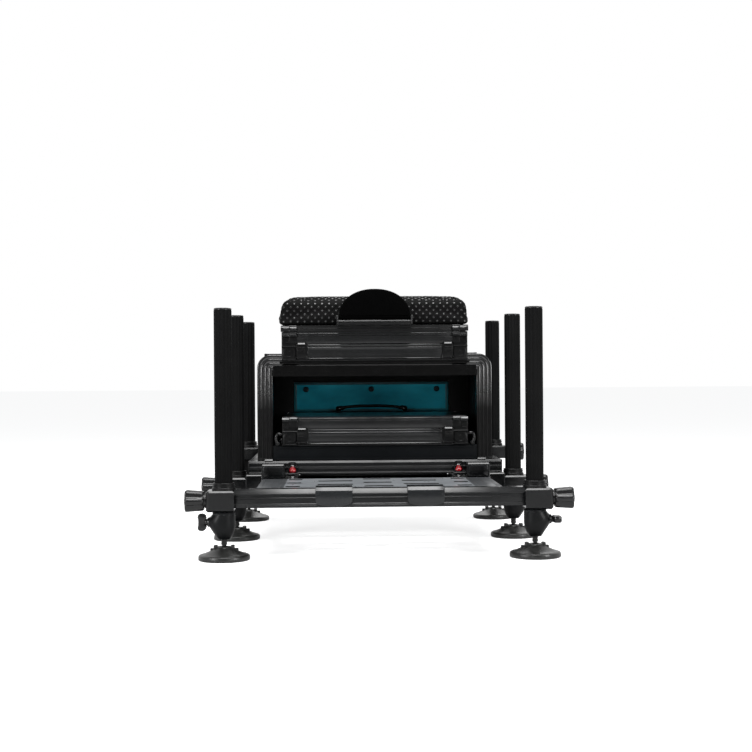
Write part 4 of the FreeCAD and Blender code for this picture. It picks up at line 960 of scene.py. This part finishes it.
SEAT_LOW, SEAT_HIGH = 467.3, 481.4
rim = [(-54.0, 467.4), (-57.4, 467.4), (-57.2, 473.5), (-57.8, 473.9), (-57.6, 474.7), (-57.0, 475.1),
       (-56.6, 481.2), (-54.0, 481.2)]
seat_parts = [prism([rim], (-176, 176), "x", RIM, bevel=0.35),
              brick((-206, 206), (-55, 315), (478.3, 481.3), PLASTIC, 0.8, 1),
              brick((-176, 176), (314, 318), (467.4, 481.2), PLASTIC)]
for side in SIDES:
    seat_parts.append(brick(spread(side, 206, 210), (-30, 300), (467.4, 481.3), PLASTIC, 1.2))
    for front, back in ((-59.6, -18), (280, 318.6)):
        for x, y, top in ((spread(side, 175.4, 191.4), front - 1.4, SEAT_HIGH - 0.8),
                          (spread(side, 192.2, 210.6), front - 2.0, SEAT_HIGH)):
            cap = [(back, SEAT_LOW + 0.2), (y, SEAT_LOW + 0.2), (y, top - 7.0), (y + 1.2, top - 4.6),
                   (y + 4.8, top - 0.8), (y + 7.5, top), (back, top)]
            seat_parts.append(prism([cap], x, "x", CORNER, bevel=0.3))
    seat_parts += knuckle(85, 115, side, (467.4, 471.9))
    seat_parts.append(brick(spread(side, 81.0, 85.0), (-75, -57), (482.0, 503.0), PLASTIC, 1.6, 3))
    head = [(-0.4, 3.8), (0.5, 3.8), (0.9, 3.0)] if side > 0 else [(-0.9, 3.0), (-0.5, 3.8), (0.4, 3.8)]
    seat_parts.append(ring_stack(head, (side * 85.1, -66, 500), "x", STUD, steps=28))
bracket = [(-56.0, 481.6), (-72.6, 481.6), (-72.8, 487.0), (-75.2, 487.8), (-75.2, 489.4), (-72.2, 492.4),
           (-58.0, 492.4), (-56.0, 490.6)]
seat_parts.append(prism([bracket], (-84.8, 84.8), "x", RIM, bevel=0.5))
finish_piece("seat_frame_dressed", seat_parts, "seat", "seat_frame")

GRIP_HALF, GRIP_FOOT, GRIP_RISE = 79.9, 501.0, 61.0
dome = [(-GRIP_HALF, 497.0), (GRIP_HALF, 497.0)]
dome += [(GRIP_HALF * math.copysign(abs(math.cos(math.pi * i / 40)) ** 0.93, 20 - i),
          GRIP_FOOT + GRIP_RISE * math.sin(math.pi * i / 40) ** 0.95) for i in range(40)]
dome.append((-GRIP_HALF, GRIP_FOOT))
grip_parts = [prism([dome], (-73.0, -59.0), "y", FOAM, bevel=5.0, steps=4, smooth=60.0),
              rod((-GRIP_HALF, GRIP_HALF), (0, -66, 500), 6.9, 1.0, 1.5, FOAM, 40)]
grip = finish_piece("pole_grip_dressed", grip_parts, "pole_grip", "pole_grip")


def apply_modifiers(target):
    depsgraph = bpy.context.evaluated_depsgraph_get()
    mesh = bpy.data.meshes.new_from_object(target.evaluated_get(depsgraph))
    target.modifiers.clear()
    target.data = mesh


def read_points(mesh, field="co"):
    values = np.empty(len(mesh.vertices) * 3)
    mesh.vertices.foreach_get(field, values)
    return values.reshape(-1, 3)


def write_points(mesh, values):
    mesh.vertices.foreach_set("co", values.reshape(-1))
    mesh.update()


# The cushion's sizes are in metres, as its points are worked on as they stand in the mesh
FOOT_Z, SHOULDER_Z, CROWN_Z = 0.4820, 0.5455, 0.5510
X_REACH, Y_MIDDLE = (-0.2195, 0.2180), 0.132
PITCH_U, PITCH_V = 0.0157, 0.0162
PLANES = ((1, 2), (0, 2), (0, 1))


def cushion_start():
    """A rounded block with a crowned top, drawn in at its foot and bulging a little above it."""
    def upper(edge):
        return (edge.verts[0].co.z + edge.verts[1].co.z) / 2 > 490

    block = brick((-215.0, 213.4), (-53, 317), (482.4, 540.0), FABRIC, 17.0, 5, keep=upper)
    remesh = block.modifiers.new("remesh", "REMESH")
    remesh.mode = "VOXEL"
    remesh.voxel_size = 0.005
    apply_modifiers(block)
    points = read_points(block.data)
    across = np.clip((points[:, 0] + 0.0008) / 0.2142, -1, 1)
    along = np.clip((points[:, 1] - Y_MIDDLE) / 0.185, -1, 1)
    rise = np.clip((points[:, 2] - FOOT_Z) / (SHOULDER_Z - FOOT_Z), 0, 1)
    points[:, 2] += 0.0050 * rise ** 2 * (1 - across ** 4) * (1 - along ** 4)
    pull = 0.0050 * (1 - rise) ** 3 - 0.0010 * np.sin(np.pi * rise)
    points[:, 0] -= np.sign(points[:, 0]) * pull * (1 - along ** 4) * np.abs(across) ** 8
    points[:, 1] -= np.sign(along) * pull * (1 - across ** 4) * np.abs(along) ** 8
    write_points(block.data, points)
    return block


def inflate(piece, cap):
    """Blows the cover up a little with cloth pressure, and caps how far each point may move."""
    start = read_points(piece.data).copy()
    scene = bpy.context.scene
    cloth = piece.modifiers.new("cloth", "CLOTH")
    settings = cloth.settings
    settings.use_pressure = True
    settings.uniform_pressure_force = 4.0
    settings.effector_weights.gravity = 0.0
    settings.tension_stiffness = 25
    settings.compression_stiffness = 25
    settings.bending_stiffness = 2.0
    settings.quality = 5
    group = piece.vertex_groups.new(name="held")
    held = [index for index, place in enumerate(start) if place[2] < FOOT_Z + 0.006]
    group.add(held, 1.0, "ADD")
    settings.vertex_group_mass = "held"
    cloth.point_cache.frame_start = 1
    cloth.point_cache.frame_end = 20
    for number in range(1, 21):
        scene.frame_set(number)
    shape = piece.evaluated_get(bpy.context.evaluated_depsgraph_get())
    after = read_points(shape.data).copy()
    piece.modifiers.clear()
    scene.frame_set(1)
    move = after - start
    length = np.linalg.norm(move, axis=1, keepdims=True)
    move *= np.minimum(1.0, cap / np.maximum(length, 1e-9))
    write_points(piece.data, start + move)


def quilt(piece, depth):
    """Raises the diamonds of the quilted cover and gives it the lattice's own coordinates."""
    mesh = piece.data
    points, normals = read_points(mesh), read_points(mesh, "normal")
    weights = np.abs(normals) ** 10
    weights /= np.maximum(weights.sum(axis=1, keepdims=True), 1e-9)
    rise = np.zeros(len(points))
    for axis, (u, v) in enumerate(PLANES):
        first = points[:, u] / PITCH_U + (points[:, v] - FOOT_Z) / PITCH_V
        second = points[:, u] / PITCH_U - (points[:, v] - FOOT_Z) / PITCH_V
        diamonds = np.abs(np.sin(np.pi * first)) * np.abs(np.sin(np.pi * second))
        rise += weights[:, axis] * diamonds ** 0.6
    rise *= np.clip((points[:, 2] - FOOT_Z) / 0.006, 0, 1)
    points += normals * (rise * depth - depth * 0.5)[:, None]
    points[:, 0] = np.clip(points[:, 0], *X_REACH)
    points[:, 2] = np.maximum(points[:, 2], FOOT_Z)
    write_points(mesh, points)
    layer = mesh.uv_layers.new(name="lattice")
    for face in mesh.polygons:
        sizes = [abs(part) for part in face.normal]
        u, v = PLANES[sizes.index(max(sizes))]
        for loop in face.loop_indices:
            place = mesh.vertices[mesh.loops[loop].vertex_index].co
            layer.data[loop].uv = (place[u] / PITCH_U, (place[v] - FOOT_Z) / PITCH_V)
    points[:, 2] = np.minimum(points[:, 2], CROWN_Z)
    write_points(mesh, points)


cushion = cushion_start()
inflate(cushion, 0.0060)
smooth = cushion.modifiers.new("smooth", "SMOOTH")
smooth.factor = 0.5
smooth.iterations = 3
apply_modifiers(cushion)
finer = cushion.modifiers.new("finer", "SUBSURF")
finer.levels = 1
apply_modifiers(cushion)
quilt(cushion, 0.0016)
cushion.data.materials.clear()
cushion.data.materials.append(FABRIC)
cushion.data.polygons.foreach_set("use_smooth", [True] * len(cushion.data.polygons))
finish_piece("seat_cushion_dressed", [cushion], "seat", "seat_cushion")


# Floor, light and camera

def place_in_scene(name, data):
    made = bpy.data.objects.new(name, data)
    bpy.context.scene.collection.objects.link(made)
    return made


def floor_material(glow, sheen):
    """A white floor that keeps a soft shadow: part of what the camera and mirrors see is its own light."""
    tree = Tree("studio_floor")
    camera_ray, seen = tree.seen()
    light = tree.new("Emission", (("Strength", tree.span(camera_ray, 0.0, 1.0, sheen, glow)),))
    dark = tree.new("Emission", (("Strength", 0.0),))
    chosen = tree.new("MixShader", ((0, seen), (1, dark.outputs[0]), (2, light.outputs[0])))
    total = tree.new("AddShader", ((0, tree.shader.outputs[0]), (1, chosen.outputs[0])))
    tree.plug(total.outputs[0], tree.nodes["Material Output"].inputs["Surface"])
    fine = tree.noise(60.0, 3.0, 0.5)
    tree.set(Base_Color=tree.ramp(fine, (0.3, (0.60, 0.60, 0.60)), (0.7, (0.62, 0.62, 0.62))),
             Roughness=1.0, Specular_IOR_Level=0.0)
    return tree.owner


floor_mesh = bpy.data.meshes.new("studio_floor")
floor_mesh.from_pydata([(-30, -30, 0), (30, -30, 0), (30, 30, 0), (-30, 30, 0)], [], [(0, 1, 2, 3)])
floor_mesh.materials.append(floor_material(glow=0.78, sheen=0.20))
floor = place_in_scene("studio_floor", floor_mesh)
floor.location.z = -0.0002

# The world is plain where it lights, white to the camera, and darker in reflections of the camera's side
studio = Tree("studio", bpy.data.worlds)
bpy.context.scene.world = studio.owner
camera_ray, seen = studio.seen()
plain = studio.nodes["Background"]
studio.plug((0.96, 0.98, 1.0, 1), plain.inputs["Color"])
studio.plug(0.28, plain.inputs["Strength"])
toward = studio.new("SeparateXYZ", ((0, studio.coords["Generated"]),)).outputs["Y"]
level = studio.math("MAXIMUM", studio.span(toward, -0.75, 0.35, 0.30, 1.0), camera_ray)
white = studio.new("Background", (("Color", (1, 1, 1, 1)), ("Strength", level)))
chosen = studio.new("MixShader", ((0, seen), (1, plain.outputs[0]), (2, white.outputs[0])))
studio.plug(chosen.outputs[0], studio.nodes["World Output"].inputs["Surface"])


def softbox(name, place, target, size, power):
    light = bpy.data.lights.new(name, "AREA")
    light.shape = "RECTANGLE"
    light.size, light.size_y = size
    light.energy = power
    made = place_in_scene(name, light)
    made.location = place
    made.rotation_mode = "QUATERNION"
    made.rotation_quaternion = (Vector(target) - Vector(place)).to_track_quat("-Z", "Y")


softbox("top_softbox", (0.0, -0.5, 3.0), (0.0, -0.45, 0.3), (2.0, 1.2), 90.0)
softbox("front_softbox", (0.1, -2.4, 2.5), (0.0, -0.1, 0.2), (1.6, 0.6), 34.0)
softbox("left_softbox", (-2.0, -2.0, 0.70), (0.0, 0.0, 0.5), (0.6, 0.85), 30.0)
softbox("right_softbox", (2.0, -2.0, 0.70), (0.0, 0.0, 0.5), (0.6, 0.85), 30.0)
softbox("back_softbox", (0.5, 3.0, 2.2), (0.0, 0.0, 0.3), (2.0, 1.2), 18.0)

# The photo's focal length is 1348 pixels on a picture 752 pixels wide
camera_data = bpy.data.cameras.new("photo_camera")
camera_data.sensor_width = 36.0
camera_data.lens = 1348.0 / 752.0 * 36.0
camera = place_in_scene("photo_camera", camera_data)
camera.matrix_world = (Matrix.Translation((-0.080, -3.085, 0.372)) @ Matrix.Rotation(math.radians(-1.56), 4, "Z")
                       @ Matrix.Rotation(math.radians(90.0 - 0.1), 4, "X")
                       @ Matrix.Rotation(math.radians(-0.4), 4, "Z"))
bpy.context.scene.camera = camera
bpy.context.scene.view_settings.view_transform = "Standard"
